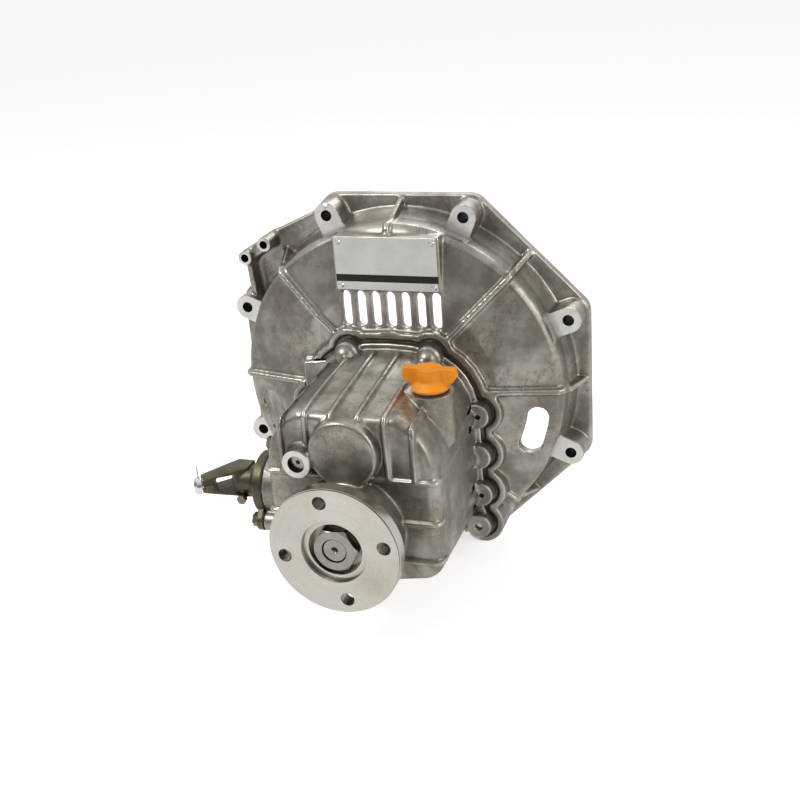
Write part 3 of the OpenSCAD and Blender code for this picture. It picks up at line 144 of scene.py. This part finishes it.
PIN_BOSS_FROM = 6
PIN_BOSS_TO = 12.6
MERGE_GAP = 0.002
BELL_VOXEL, CASE_VOXEL, CAST_PASSES, BULGE_PASSES = 1.15, 0.95, 7, 10
CASTING_TRIANGLES = 170000
SMALL_TRIANGLES = 60000


# Modelling helpers


def pick(piece):
    bpy.ops.object.select_all(action="DESELECT")
    piece.select_set(True)
    bpy.context.view_layer.objects.active = piece


def join(pieces, name):
    bpy.ops.object.select_all(action="DESELECT")
    for piece in pieces:
        piece.select_set(True)
    bpy.context.view_layer.objects.active = pieces[0]
    if len(pieces) > 1:
        bpy.ops.object.join()
    pieces[0].name = name
    return pieces[0]


def settle(piece):
    """Moves a piece's place into its mesh."""
    pick(piece)
    bpy.ops.object.transform_apply(location=True, rotation=True, scale=True)
    return piece


def bar(radius, start, end, sides=48):
    """Round bar between two points of the drawing."""
    line = end - start
    bpy.ops.object.select_all(action="DESELECT")
    bpy.ops.mesh.primitive_cylinder_add(vertices=sides, radius=radius * MM, depth=line.length,
                                        location=(start + end) / 2,
                                        rotation=line.to_track_quat("Z", "Y").to_euler())
    return settle(bpy.context.object)


def slab(low, high):
    """Box between two corners of the drawing."""
    bpy.ops.object.select_all(action="DESELECT")
    bpy.ops.mesh.primitive_cube_add(size=1, location=(low + high) / 2)
    block = bpy.context.object
    block.scale = [abs(high[i] - low[i]) for i in range(3)]
    return settle(block)


def copy_of(node, name):
    """Merged copy of a CAD node's mesh, free of its body."""
    source = frame["nodes"][node]
    piece = source.copy()
    piece.data = source.data.copy()
    piece.name = name
    piece.parent = None
    for key in list(piece.keys()):
        del piece[key]
    bpy.context.collection.objects.link(piece)
    pick(piece)
    bpy.ops.object.mode_set(mode="EDIT")
    bpy.ops.mesh.select_all(action="SELECT")
    bpy.ops.mesh.remove_doubles(threshold=MERGE_GAP * MM)
    bpy.ops.object.mode_set(mode="OBJECT")
    return piece


def apply_modifier(piece, kind, **settings):
    modifier = piece.modifiers.new(kind.title(), kind)
    for key, value in settings.items():
        setattr(modifier, key, value)
    pick(piece)
    bpy.ops.object.modifier_apply(modifier=modifier.name)


def round_over(piece, voxel, passes):
    """Melts a blank into one skin whose corners and edges are rounded, as a casting's are."""
    apply_modifier(piece, "REMESH", mode="VOXEL", voxel_size=voxel * MM)
    apply_modifier(piece, "SMOOTH", factor=0.5, iterations=passes)


def melt(piece, name, chosen, passes):
    """Extra rounding for the points of a skin that lie in one region."""
    region = piece.vertex_groups.new(name=name)
    region.add([v.index for v in piece.data.vertices if chosen(v.co)], 1.0, "REPLACE")
    apply_modifier(piece, "SMOOTH", factor=0.5, iterations=passes, vertex_group=name)


def thin_to(piece, triangles):
    count = sum(len(face.vertices) - 2 for face in piece.data.polygons)
    if count > triangles:
        apply_modifier(piece, "DECIMATE", ratio=triangles / count)


def machine(piece, cutter):
    """Cuts a joined set of tool shapes out of a casting; the cut faces take the tool's finish."""
    apply_modifier(piece, "BOOLEAN", operation="DIFFERENCE", solver="EXACT", object=cutter,
                   use_self=True, material_mode="TRANSFER")
    bpy.data.objects.remove(cutter)


def dress(piece, finish):
    piece.data.materials.clear()
    piece.data.materials.append(finish)


def shade(piece, angle=40):
    pick(piece)
    bpy.ops.object.shade_smooth_by_angle(angle=math.radians(angle))


# Shader helpers


def add_node(tree, kind, inputs=None, **settings):
    node = tree.nodes.new("ShaderNode" + kind)
    for key, value in settings.items():
        setattr(node, key, value)
    for key, value in (inputs or {}).items():
        if isinstance(value, bpy.types.NodeSocket):
            tree.links.new(value, node.inputs[key])
        else:
            node.inputs[key].default_value = value
    return node


def maths(tree, operation, first, second=0.0):
    return add_node(tree, "Math", {0: first, 1: second}, operation=operation).outputs[0]


def mix(tree, amount, first, second):
    node = add_node(tree, "Mix", {"Factor": amount}, data_type="RGBA")
    for socket, value in ((node.inputs[6], first), (node.inputs[7], second)):
        if isinstance(value, bpy.types.NodeSocket):
            tree.links.new(value, socket)
        else:
            socket.default_value = (*value, 1)
    return node.outputs[2]


def span(tree, value, low, high, to_low=0.0, to_high=1.0):
    """Maps a value from one range to another, held at the ends."""
    node = add_node(tree, "MapRange", {"Value": value, "From Min": low, "From Max": high,
                                       "To Min": to_low, "To Max": to_high}, interpolation_type="SMOOTHSTEP")
    return node.outputs[0]


def new_group(name, inputs, outputs):
    tree = bpy.data.node_groups.new(name, "ShaderNodeTree")
    for label, value in inputs.items():
        kind = "NodeSocketVector" if isinstance(value, tuple) else "NodeSocketFloat"
        tree.interface.new_socket(label, in_out="INPUT", socket_type=kind).default_value = value
    for label in outputs:
        tree.interface.new_socket(label, in_out="OUTPUT", socket_type="NodeSocketFloat")
    entry = tree.nodes.new("NodeGroupInput")
    leave = tree.nodes.new("NodeGroupOutput")
    return tree, entry.outputs, leave.inputs


def use_group(tree, group, **inputs):
    node = tree.nodes.new("ShaderNodeGroup")
    node.node_tree = group
    for key, value in inputs.items():
        node.inputs[key].default_value = value
    return node.outputs


def noise(tree, place, scale, detail=4.0, rough=0.55, **inputs):
    values = {"Vector": place, "Scale": scale, "Detail": detail, "Roughness": rough}
    values.update(inputs)
    return add_node(tree, "TexNoise", values).outputs["Fac"]


def make_skin_group():
    """Sand-cast or moulded skin: fine grain, soft dents and a slow drift of tone."""
    tree, given, out = new_group("moulded_skin", {"Grain": 900.0, "Drift": 30.0},
                                 ["Height", "Drift", "Grain"])
    place = add_node(tree, "TexCoord").outputs["Object"]
    grain = noise(tree, place, given["Grain"], 5.0, 0.6)
    dents = noise(tree, place, maths(tree, "MULTIPLY", given["Grain"], 0.22), 3.0)
    drift = noise(tree, place, given["Drift"], 6.0, 0.62)
    height = maths(tree, "ADD", maths(tree, "MULTIPLY", grain, 0.4), maths(tree, "MULTIPLY", dents, 0.6))
    tree.links.new(height, out["Height"])
    tree.links.new(drift, out["Drift"])
    tree.links.new(grain, out["Grain"])
    return tree


def make_stain_group():
    """Patches of dried oil or spirit: a ragged rim and fine cracks across each patch."""
    tree, given, out = new_group("dried_stain", {"Size": 22.0, "Cover": 0.57}, ["Patch", "Crackle"])
    place = add_node(tree, "TexCoord").outputs["Object"]
    field = noise(tree, place, given["Size"], 8.0, 0.66, Distortion=0.5)
    depth = maths(tree, "SUBTRACT", field, given["Cover"])
    patch = span(tree, depth, 0.0, 0.06)
    ripple = add_node(tree, "TexNoise", {"Vector": place, "Scale": 160.0, "Detail": 3.0}).outputs["Color"]
    bent = add_node(tree, "VectorMath", {0: ripple, 1: (0.016,) * 3}, operation="MULTIPLY").outputs[0]
    route = add_node(tree, "VectorMath", {0: place, 1: bent}, operation="ADD").outputs[0]
    cells = add_node(tree, "TexVoronoi", {"Vector": route, "Scale": 115.0}, feature="DISTANCE_TO_EDGE")
    crack = span(tree, cells.outputs["Distance"], 0.0, 0.075, 1.0, 0.0)
    rim = span(tree, maths(tree, "ABSOLUTE", depth), 0.0, 0.012, 1.0, 0.0)
    tree.links.new(patch, out["Patch"])
    tree.links.new(maths(tree, "MAXIMUM", maths(tree, "MULTIPLY", crack, patch), rim), out["Crackle"])
    return tree


def make_turned_group():
    """Lathe marks: fine rings about a fore-and-aft axis through a centre."""
    tree, given, out = new_group("lathe_marks", {"Centre": (0.0, 0.0, 0.0), "Rings": 4200.0},
                                 ["Height", "Tone"])
    place = add_node(tree, "TexCoord").outputs["Object"]
    arm = add_node(tree, "VectorMath", {0: place, 1: given["Centre"]}, operation="SUBTRACT").outputs[0]
    flat = add_node(tree, "VectorMath", {0: arm, 1: (1.0, 0.0, 1.0)}, operation="MULTIPLY").outputs[0]
    reach = add_node(tree, "VectorMath", {0: flat}, operation="LENGTH").outputs["Value"]
    rings = add_node(tree, "CombineXYZ", {"X": reach}).outputs[0]
    fine = noise(tree, rings, given["Rings"], 1.0)
    tone = noise(tree, rings, maths(tree, "MULTIPLY", given["Rings"], 0.06), 2.0)
    tree.links.new(fine, out["Height"])
    tree.links.new(tone, out["Tone"])
    return tree


SKIN = make_skin_group()
STAIN = make_stain_group()
TURNED = make_turned_group()


def new_finish(name, **shader):
    """Empty material with its Principled shader's plain sockets set."""
    finish = bpy.data.materials.new(name)
    finish.use_nodes = True
    tree = finish.node_tree
    surface = tree.nodes["Principled BSDF"]
    for key, value in shader.items():
        surface.inputs[key.replace("_", " ")].default_value = value
    return finish, tree, surface


def bump(tree, surface, height, depth, strength=1.0):
    node = add_node(tree, "Bump", {"Height": height, "Distance": depth * MM, "Strength": strength})
    tree.links.new(node.outputs[0], surface.inputs["Normal"])


def crevice_shade(tree, reach):
    """Ambient-occlusion mask of corners and joints, used to paint shade into them."""
    node = add_node(tree, "AmbientOcclusion", {"Distance": reach * MM}, samples=8)
    return span(tree, node.outputs["AO"], 0.25, 0.85, 1.0, 0.0)


def edges(tree):
    """Masks of ridges and of hollows, from how sharply the surface bends: ridges get wear and a painted
    highlight, hollows painted shade.
    """
    bend = add_node(tree, "NewGeometry").outputs["Pointiness"]
    return span(tree, bend, 0.505, 0.56), span(tree, bend, 0.495, 0.44)


def cast_finish(name, pale, dull, painted_shade_colour, rough, metallic, stains=1.0):
    """Cast metal: mottled skin, dried stains, painted shade in the hollows and crevices, and rubbed ridges
    lightened as wear and painted highlight.
    """
    finish, tree, surface = new_finish(name, Metallic=metallic)
    skin = use_group(tree, SKIN, Grain=620.0, Drift=26.0)
    cloud = use_group(tree, SKIN, Grain=260.0, Drift=90.0)
    stain = use_group(tree, STAIN, Size=20.0, Cover=0.56)
    ridge_wear_highlight, hollow_shade = edges(tree)
    tone = mix(tree, span(tree, skin["Drift"], 0.36, 0.64), dull, pale)
    tone = mix(tree, span(tree, cloud["Drift"], 0.42, 0.66, 0.0, 0.4), tone, [c * 0.72 for c in dull])
    brown = [pale[0] * 0.86, pale[1] * 0.72, pale[2] * 0.62]
    tone = mix(tree, maths(tree, "MULTIPLY", stain["Patch"], 0.30 * stains), tone, brown)
    crackle = maths(tree, "MULTIPLY", stain["Crackle"], 0.6 * stains)
    tone = mix(tree, crackle, tone, [c * 0.45 for c in brown])
    # Painted shade: hollows and crevices darkened towards a dark brown.
    tone = mix(tree, maths(tree, "MULTIPLY", hollow_shade, 0.45), tone, painted_shade_colour)
    tone = mix(tree, maths(tree, "MULTIPLY", crevice_shade(tree, 7), 0.40), tone, painted_shade_colour)
    # Ridges lightened: rubbed wear, and a painted highlight on the crests.
    tone = mix(tree, maths(tree, "MULTIPLY", ridge_wear_highlight, 0.75), tone, [min(1.0, c * 1.45) for c in pale])
    tree.links.new(tone, surface.inputs["Base Color"])
    sheen = span(tree, skin["Drift"], 0.3, 0.7, rough + 0.1, rough - 0.08)
    worn = maths(tree, "MULTIPLY", ridge_wear_highlight, 0.12)
    tree.links.new(maths(tree, "SUBTRACT", sheen, worn), surface.inputs["Roughness"])
    bump(tree, surface, skin["Height"], 0.35, 0.5)
    return finish


def bore_finish(name, colour):
    """Drilled and tapped holes: a near-black, oily finish that paints the shade inside them, with the fine
    rings a drill leaves.
    """
    finish, tree, surface = new_finish(name, Metallic=0.6)
    skin = use_group(tree, SKIN, Grain=1500.0, Drift=160.0)
    tree.links.new(mix(tree, span(tree, skin["Drift"], 0.3, 0.7), [c * 0.6 for c in colour], colour),
                   surface.inputs["Base Color"])
    tree.links.new(span(tree, skin["Grain"], 0.3, 0.7, 0.5, 0.7), surface.inputs["Roughness"])
    bump(tree, surface, skin["Grain"], 0.1, 0.4)
    return finish


def metal_finish(name, colour, rough, grain=2400.0):
    """Ground or milled metal with a faint cloudy tone and painted shade in its crevices."""
    finish, tree, surface = new_finish(name, Metallic=1.0)
    skin = use_group(tree, SKIN, Grain=grain, Drift=90.0)
    tone = mix(tree, span(tree, skin["Drift"], 0.3, 0.7), [c * 0.82 for c in colour], colour)
    # Painted shade: crevices darkened to a quarter of the colour.
    tone = mix(tree, maths(tree, "MULTIPLY", crevice_shade(tree, 4), 0.5), tone, [c * 0.25 for c in colour])
    tree.links.new(tone, surface.inputs["Base Color"])
    sheen = span(tree, skin["Grain"], 0.3, 0.7, rough - 0.06, rough + 0.08)
    tree.links.new(sheen, surface.inputs["Roughness"])
    bump(tree, surface, skin["Grain"], 0.06, 0.4)
    return finish


def turned_finish(name, colour, rough, centre):
    """Lathe-turned steel whose highlights fan out from its axis, with near-black painted shade in its
    crevices.
    """
    finish, tree, surface = new_finish(name, Metallic=1.0, Anisotropic=0.94)
    marks = use_group(tree, TURNED, Centre=centre, Rings=5200.0)
    skin = use_group(tree, SKIN, Grain=1500.0, Drift=40.0)
    tone = mix(tree, span(tree, marks["Tone"], 0.3, 0.7), [c * 0.9 for c in colour], colour)
    dull = [c * f for c, f in zip(colour, (0.74, 0.66, 0.54))]
    tone = mix(tree, span(tree, skin["Drift"], 0.46, 0.72, 0.0, 0.55), tone, dull)
    # Painted shade: crevices darkened towards near black.
    tone = mix(tree, maths(tree, "MULTIPLY", crevice_shade(tree, 5), 0.55), tone, (0.05, 0.045, 0.04))
    tree.links.new(tone, surface.inputs["Base Color"])
    sheen = span(tree, marks["Tone"], 0.3, 0.7, rough - 0.05, rough + 0.07)
    tree.links.new(sheen, surface.inputs["Roughness"])
    tangent = add_node(tree, "Tangent", direction_type="RADIAL", axis="Y")
    tree.links.new(tangent.outputs[0], surface.inputs["Tangent"])
    bump(tree, surface, marks["Height"], 0.008, 0.2)
    return finish


def rubber_finish(name, colour):
    finish, tree, surface = new_finish(name)
    skin = use_group(tree, SKIN, Grain=1600.0, Drift=120.0)
    tone = mix(tree, span(tree, skin["Drift"], 0.3, 0.7), colour, [c * 1.8 + 0.01 for c in colour])
    tree.links.new(tone, surface.inputs["Base Color"])
    tree.links.new(span(tree, skin["Drift"], 0.3, 0.7, 0.55, 0.75), surface.inputs["Roughness"])
    bump(tree, surface, skin["Height"], 0.1, 0.4)
    return finish


def plastic_finish(name, colour, shadow):
    finish, tree, surface = new_finish(name, IOR=1.48)
    skin = use_group(tree, SKIN, Grain=2100.0, Drift=70.0)
    tone = mix(tree, span(tree, skin["Drift"], 0.3, 0.7), shadow, colour)
    # Painted shade: crevices darkened towards a deep orange.
    tone = mix(tree, maths(tree, "MULTIPLY", crevice_shade(tree, 5), 0.5), tone, [c * 0.4 for c in shadow])
    tree.links.new(tone, surface.inputs["Base Color"])
    tree.links.new(span(tree, skin["Drift"], 0.3, 0.7, 0.42, 0.58), surface.inputs["Roughness"])
    bump(tree, surface, skin["Height"], 0.08, 0.3)
    return finish


def plate_finish(name, colour, band, low, high):
    """Satin plate with one dark band along its lower edge."""
    finish, tree, surface = new_finish(name, Metallic=0.75)
    skin = use_group(tree, SKIN, Grain=2600.0, Drift=60.0)
    place = add_node(tree, "TexCoord").outputs["Object"]
    up = add_node(tree, "SeparateXYZ", {0: place}).outputs["Z"]
    over = maths(tree, "GREATER_THAN", up, low * MM)
    inside = maths(tree, "MULTIPLY", over, maths(tree, "LESS_THAN", up, high * MM))
    tone = mix(tree, span(tree, skin["Drift"], 0.3, 0.7), [c * 0.86 for c in colour], colour)
    tone = mix(tree, inside, tone, band)
    tree.links.new(tone, surface.inputs["Base Color"])
    tree.links.new(span(tree, skin["Grain"], 0.3, 0.7, 0.3, 0.42), surface.inputs["Roughness"])
    bump(tree, surface, skin["Grain"], 0.05, 0.3)
    return finish


COUPLING_CENTRE = tuple(MOUNTS["coupling_bolts"]["pos_m"])
PLATE_LOW = node_span("nameplate", "up")[0]
BAND_LOW, BAND_HIGH = 6.4, 12.2
# The third colour of each cast finish is the dark brown of painted shade in its hollows and crevices.
CAST = cast_finish("cast_aluminium", (0.40, 0.382, 0.34), (0.21, 0.197, 0.168),
                   (0.045, 0.038, 0.03), 0.40, 0.92)
MILLED = metal_finish("milled_aluminium", (0.70, 0.69, 0.665), 0.36)
# Near-black bore finish: painted shade inside holes, grooves and ejector marks.
BORE = bore_finish("bore_painted_shade", (0.022, 0.019, 0.016))
DARK_CAST = cast_finish("dark_cast", (0.175, 0.15, 0.095), (0.085, 0.074, 0.05),
                        (0.012, 0.01, 0.008), 0.34, 0.75, 0.5)
TURNED_STEEL = turned_finish("turned_steel", (0.60, 0.575, 0.525), 0.25, COUPLING_CENTRE)
NUT_STEEL = metal_finish("nut_steel", (0.34, 0.325, 0.295), 0.24)
BRIGHT_STEEL = metal_finish("bright_steel", (0.62, 0.60, 0.57), 0.28)
RACE_STEEL = metal_finish("race_steel", (0.74, 0.74, 0.75), 0.2)
GEAR_STEEL = metal_finish("gear_steel", (0.42, 0.41, 0.40), 0.3, 1200.0)
COPPER = metal_finish("copper", (0.72, 0.42, 0.27), 0.34)
RUBBER = rubber_finish("black_rubber", (0.018, 0.018, 0.018))
ORANGE = plastic_finish("orange_plastic", (0.93, 0.34, 0.004), (0.80, 0.25, 0.004))
PLATE = plate_finish("plate_satin", (0.62, 0.62, 0.59), (0.02, 0.02, 0.022),
                     PLATE_LOW + BAND_LOW, PLATE_LOW + BAND_HIGH)

SLOT_FINISH = {
    "cast_aluminium": CAST, "seal_rubber": RUBBER, "dark_cast": DARK_CAST, "bearing_steel": RACE_STEEL,
    "gear_steel": GEAR_STEEL, "plate": PLATE, "copper": COPPER, "cap_plastic": ORANGE, "steel": BRIGHT_STEEL,
}
for part in frame["record"]["subparts"]:
    dress(frame["nodes"][part["node"]], SLOT_FINISH[part["material_slot"]])
dress(frame["nodes"]["output_coupling"], TURNED_STEEL)
for node in ("coupling_nut", "output_shaft", "coupling_washer", "idler_shaft"):
    dress(frame["nodes"][node], NUT_STEEL)


# Castings


def flange_places():
    """Directions from the input axis to the flange bolts."""
    for k in range(int(BOLT_COUNT)):
        turn = math.radians(FIRST_PAD_TURN + 360 / BOLT_COUNT * k)
        yield Vector((math.cos(turn), math.sin(turn)))


def pad_block(outward, grow, aft0, aft1):
    """Round-nosed pad under a flange bolt, reaching in towards the bell wall."""
    centre = outward * BOLT_CIRCLE_R
    radius = PAD_R + grow
    nose = bar(radius, at(centre.x, centre.y, aft0), at(centre.x, centre.y, aft1))
    inner = outward * (BOLT_CIRCLE_R - PAD_REACH / 2)
    bpy.ops.object.select_all(action="DESELECT")
    bpy.ops.mesh.primitive_cube_add(size=1, location=at(inner.x, inner.y, (aft0 + aft1) / 2),
                                    rotation=(0, -math.atan2(outward.y, outward.x), 0))
    tail = bpy.context.object
    tail.scale = (PAD_REACH * MM, (aft1 - aft0) * MM, 2 * radius * MM)
    settle(tail)
    return [nose, tail]


def tool_set(name, faces, drills):
    """Joins milling tools and drills into one cutter, each keeping its own finish."""
    for tool in faces:
        dress(tool, MILLED)
    for tool in drills:
        # Drill cuts, and the ear grooves and ejector marks cut with them, take the near-black bore finish as
        # painted shade.
        dress(tool, BORE)
    return join(faces + drills, name)


def make_bell():
    piece = copy_of("bell_housing", "bell_casting")
    blank = [piece]
    faces, drills = [], []
    for outward in flange_places():
        centre = outward * BOLT_CIRCLE_R
        blank += pad_block(outward, -PAD_UNDERSIZE, PAD_AFT - PAD_ROOT, PAD_AFT + PAD_ALLOWANCE)
        blank.append(bar(BOLT_HOLE_R + PLUG_INSET, at(centre.x, centre.y, PLUG_INSET),
                         at(centre.x, centre.y, PAD_AFT - PLUG_INSET)))
        faces += pad_block(outward, PAD_RELIEF, PAD_AFT, SEAT_AFT)
        drills.append(bar(BOLT_HOLE_R, at(centre.x, centre.y, -DRILL_ENTRY),
                          at(centre.x, centre.y, PAD_AFT + DRILL_OVERRUN)))
    for name in ("upper_lug_hole", "lower_lug_hole"):
        x, _, z = [value / MM for value in MOUNTS[name]["pos_m"]]
        blank.append(bar(LUG_R, at(x, z, LUG_ROOT_AFT), at(x, z, PAD_AFT + PAD_ALLOWANCE)))
        faces.append(bar(LUG_R + LUG_FACE_MARGIN, at(x, z, PAD_AFT), at(x, z, PAD_AFT + LUG_FACE_CLEAR)))
        drills.append(bar(LUG_HOLE_R, at(x, z, PAD_AFT - LUG_HOLE_DEPTH),
                          at(x, z, PAD_AFT + DRILL_OVERRUN)))
    faces.append(slab(at(-FACE_MILL_REACH, -FACE_MILL_REACH, -FACE_MILL_DEPTH),
                      at(FACE_MILL_REACH, FACE_MILL_REACH, FACE_SKIM)))
    join(blank, "bell_casting")
    round_over(piece, BELL_VOXEL, CAST_PASSES)
    thin_to(piece, CASTING_TRIANGLES)
    dress(piece, CAST)
    machine(piece, tool_set("bell_tools", faces, drills))
    shade(piece)
    return piece


def ear_marks():
    """Parting grooves and ejector marks on the faces of the bolt ears, on both sides, cut with the
    near-black bore finish as painted shade.
    """
    marks = []
    for side in (-1, 1):
        for row in EAR_ROWS:
            groove = side * (EAR_RIGHT - EAR_GROOVE_IN)
            half = EAR_GROOVE / 2
            marks.append(slab(at(groove - half, row - EAR_GROOVE_HALF, EAR_AFT - EAR_GROOVE_DEPTH),
                              at(groove + half, row + EAR_GROOVE_HALF, EAR_AFT + EAR_GROOVE_CLEAR)))
            ejector = side * (EAR_RIGHT + EJECTOR_OUT)
            marks.append(bar(EJECTOR_R, at(ejector, row, EAR_AFT - EJECTOR_DEPTH),
                             at(ejector, row, EAR_AFT + EJECTOR_CLEAR), EJECTOR_SIDES))
    return marks


def in_bulge(point):
    """Whether a point of the case's skin lies on the end of its input bulge."""
    return -point.y / MM > BULGE_AFT - BULGE_DEPTH and math.hypot(point.x, point.z) / MM < BULGE_R


def make_case():
    piece = copy_of("gear_case", "case_casting")
    idler = node_span("idler_shaft", "right"), node_span("idler_shaft", "up")
    ix, iz = sum(idler[0]) / 2, sum(idler[1]) / 2
    seal = node_span("cap_seal", "right"), node_span("cap_seal", "aft")
    fx, fa = sum(seal[0]) / 2, sum(seal[1]) / 2
    blank = [piece,
             bar(IDLER_R + IDLER_WALL, at(ix, iz, IDLER_AFT - BOSS_ROOT),
                 at(ix, iz, IDLER_AFT + PAD_ALLOWANCE)),
             bar(FILLER_R, at(fx, FILLER_UP - BOSS_ROOT, fa), at(fx, FILLER_UP + PAD_ALLOWANCE, fa))]
    faces = [bar(IDLER_R + 2 * IDLER_WALL, at(ix, iz, IDLER_AFT),
                 at(ix, iz, IDLER_AFT + IDLER_FACE_CLEAR)),
             bar(FILLER_R + FILLER_FACE_MARGIN, at(fx, FILLER_UP, fa),
                 at(fx, FILLER_UP + FILLER_FACE_CLEAR, fa)),
             slab(at(-SEAT_MILL_RIGHT, SEAT_MILL_UP[0], CASE_SEAT_AFT - FACE_MILL_DEPTH),
                  at(SEAT_MILL_RIGHT, SEAT_MILL_UP[1], CASE_SEAT_AFT))]
    drills = ear_marks() + [
        bar(IDLER_R + IDLER_BORE_PLAY, at(ix, iz, IDLER_AFT - IDLER_BORE_DEPTH),
            at(ix, iz, IDLER_AFT + DRILL_ENTRY)),
        bar(FILLER_BORE_R, at(fx, FILLER_UP - FILLER_BORE_DEPTH, fa), at(fx, FILLER_UP + DRILL_ENTRY, fa))]
    join(blank, "case_casting")
    round_over(piece, CASE_VOXEL, CAST_PASSES)
    melt(piece, "bulge", in_bulge, BULGE_PASSES)
    thin_to(piece, CASTING_TRIANGLES)
    dress(piece, CAST)
    machine(piece, tool_set("case_tools", faces, drills))
    shade(piece)
    return piece


def pin_boss():
    """Metal round the cable pin, so that the lever's tip closes over it."""
    inward = Vector((math.cos(LEVER_SWEEP), math.sin(LEVER_SWEEP), 0)) * MM
    return bar(PIN_BOSS_R, CABLE_END + inward * PIN_BOSS_FROM, CABLE_END + inward * PIN_BOSS_TO)


def soften(node, name, body, finish, voxel, passes, bosses=()):
    """Cast or moulded copy of a small node with rounded edges."""
    piece = join([copy_of(node, name), *bosses], name)
    round_over(piece, voxel, passes)
    thin_to(piece, SMALL_TRIANGLES)
    dress(piece, finish)
    shade(piece, 60)
    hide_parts(node)
    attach(piece, body)
    return piece


bell = make_bell()
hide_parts("bell_housing")
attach(bell, "housing")
case = make_case()
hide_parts("gear_case")
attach(case, "housing")
cover = soften("side_cover", "cover_casting", "housing", DARK_CAST, 0.6, 5)
lever = soften("shift_lever", "lever_casting", "shift", DARK_CAST, 0.5, 6, bosses=[pin_boss()])
cap = soften("filler_cap", "cap_moulding", "filler", ORANGE, 0.45, 8)


# Stage, light and camera


def backdrop_ray(tree, mirrored=1.0):
    """1 for rays that show the backdrop to the camera, and a share for those mirrored or let through."""
    path = add_node(tree, "LightPath").outputs
    bounced = maths(tree, "MAXIMUM", path["Is Glossy Ray"], path["Is Transmission Ray"])
    return maths(tree, "MAXIMUM", path["Is Camera Ray"], maths(tree, "MULTIPLY", bounced, mirrored))


FLOOR_WIDTH = 60
FLOOR_GLOW = 0.68
FLOOR_MIRRORED = 0.5


def make_floor():
    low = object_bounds()[0]
    bpy.ops.object.select_all(action="DESELECT")
    bpy.ops.mesh.primitive_plane_add(size=FLOOR_WIDTH, location=(0, 0, low[2]))
    floor = bpy.context.object
    floor.name = "floor"
    finish, tree, surface = new_finish("pale_floor", Roughness=0.9)
    surface.inputs["Base Color"].default_value = (0.78, 0.78, 0.775, 1)
    surface.inputs["Specular IOR Level"].default_value = 0.0
    strength = maths(tree, "MULTIPLY", backdrop_ray(tree, FLOOR_MIRRORED), FLOOR_GLOW)
    glow = add_node(tree, "Emission", {"Color": (1, 1, 1, 1), "Strength": strength})
    both = add_node(tree, "AddShader", {0: surface.outputs[0], 1: glow.outputs[0]})
    tree.links.new(both.outputs[0], tree.nodes["Material Output"].inputs["Surface"])
    dress(floor, finish)


def make_light(name, place, aim, size, power, colour):
    data = bpy.data.lights.new(name, "AREA")
    data.shape = "RECTANGLE"
    data.size, data.size_y = size
    data.energy = power
    data.color = colour
    lamp = bpy.data.objects.new(name, data)
    lamp.location = place
    lamp.rotation_euler = (Vector(aim) - Vector(place)).to_track_quat("-Z", "Y").to_euler()
    bpy.context.collection.objects.link(lamp)


def make_world():
    """White behind the object, dimmer on the viewer's side, so that metal keeps its contrast."""
    world = bpy.data.worlds.new("studio")
    bpy.context.scene.world = world
    world.use_nodes = True
    tree = world.node_tree
    way = add_node(tree, "SeparateXYZ", {0: add_node(tree, "TexCoord").outputs["Generated"]}).outputs
    behind = span(tree, way["Y"], -0.5, 0.5, 0.12, 1.0)
    above = span(tree, way["Z"], 0.15, 0.85, 0.0, 0.55)
    seen = maths(tree, "MINIMUM", maths(tree, "ADD", behind, above), 1.0)
    camera_ray = add_node(tree, "LightPath").outputs["Is Camera Ray"]
    surround = tree.nodes["Background"]
    surround.inputs["Color"].default_value = (0.93, 0.94, 0.95, 1)
    surround.inputs["Strength"].default_value = 0.34
    white = add_node(tree, "Background", {"Color": (1, 1, 1, 1),
                                          "Strength": maths(tree, "MAXIMUM", seen, camera_ray)})
    blend = add_node(tree, "MixShader", {0: backdrop_ray(tree)})
    tree.links.new(surround.outputs[0], blend.inputs[1])
    tree.links.new(white.outputs[0], blend.inputs[2])
    tree.links.new(blend.outputs[0], tree.nodes["World Output"].inputs["Surface"])


# Camera at the photograph's viewing angle: degrees, metres and, for the lens, millimetres
CAMERA_BEARING, CAMERA_HEIGHT, CAMERA_ROLL = 20.543, 23.199, -4.611
CAMERA_PLACE = Vector((0.310193, -0.874907, 0.367021))
CAMERA_LENS = 53.67
SENSOR_WIDTH = 36


def make_camera():
    bearing, height, roll = (math.radians(v) for v in (CAMERA_BEARING, CAMERA_HEIGHT, CAMERA_ROLL))
    level = math.cos(height)
    back = Vector((math.sin(bearing) * level, -math.cos(bearing) * level, math.sin(height)))
    right = Vector((math.cos(bearing), math.sin(bearing), 0))
    up = back.cross(right)
    x_axis = math.cos(roll) * right + math.sin(roll) * up
    y_axis = -math.sin(roll) * right + math.cos(roll) * up
    data = bpy.data.cameras.new("camera")
    data.lens = CAMERA_LENS
    data.sensor_width = SENSOR_WIDTH
    camera = bpy.data.objects.new("camera", data)
    turn = camera.matrix_world.copy()
    for row in range(3):
        turn[row][0], turn[row][1], turn[row][2] = x_axis[row], y_axis[row], back[row]
        turn[row][3] = CAMERA_PLACE[row]
    camera.matrix_world = turn
    bpy.context.collection.objects.link(camera)
    bpy.context.scene.camera = camera


make_floor()
make_world()
make_light("key", (-0.75, -0.85, 1.15), (0, -0.1, -0.02), (0.8, 0.5), 14, (1.0, 0.985, 0.96))
make_light("side", (1.25, -0.35, 0.55), (0, -0.1, -0.02), (0.35, 0.8), 7, (1.0, 0.95, 0.88))
make_light("back", (0.1, 1.0, 0.9), (0, -0.05, 0), (1.0, 0.4), 6, (0.96, 0.98, 1.0))
make_camera()
bpy.context.scene.view_settings.view_transform = "Standard"
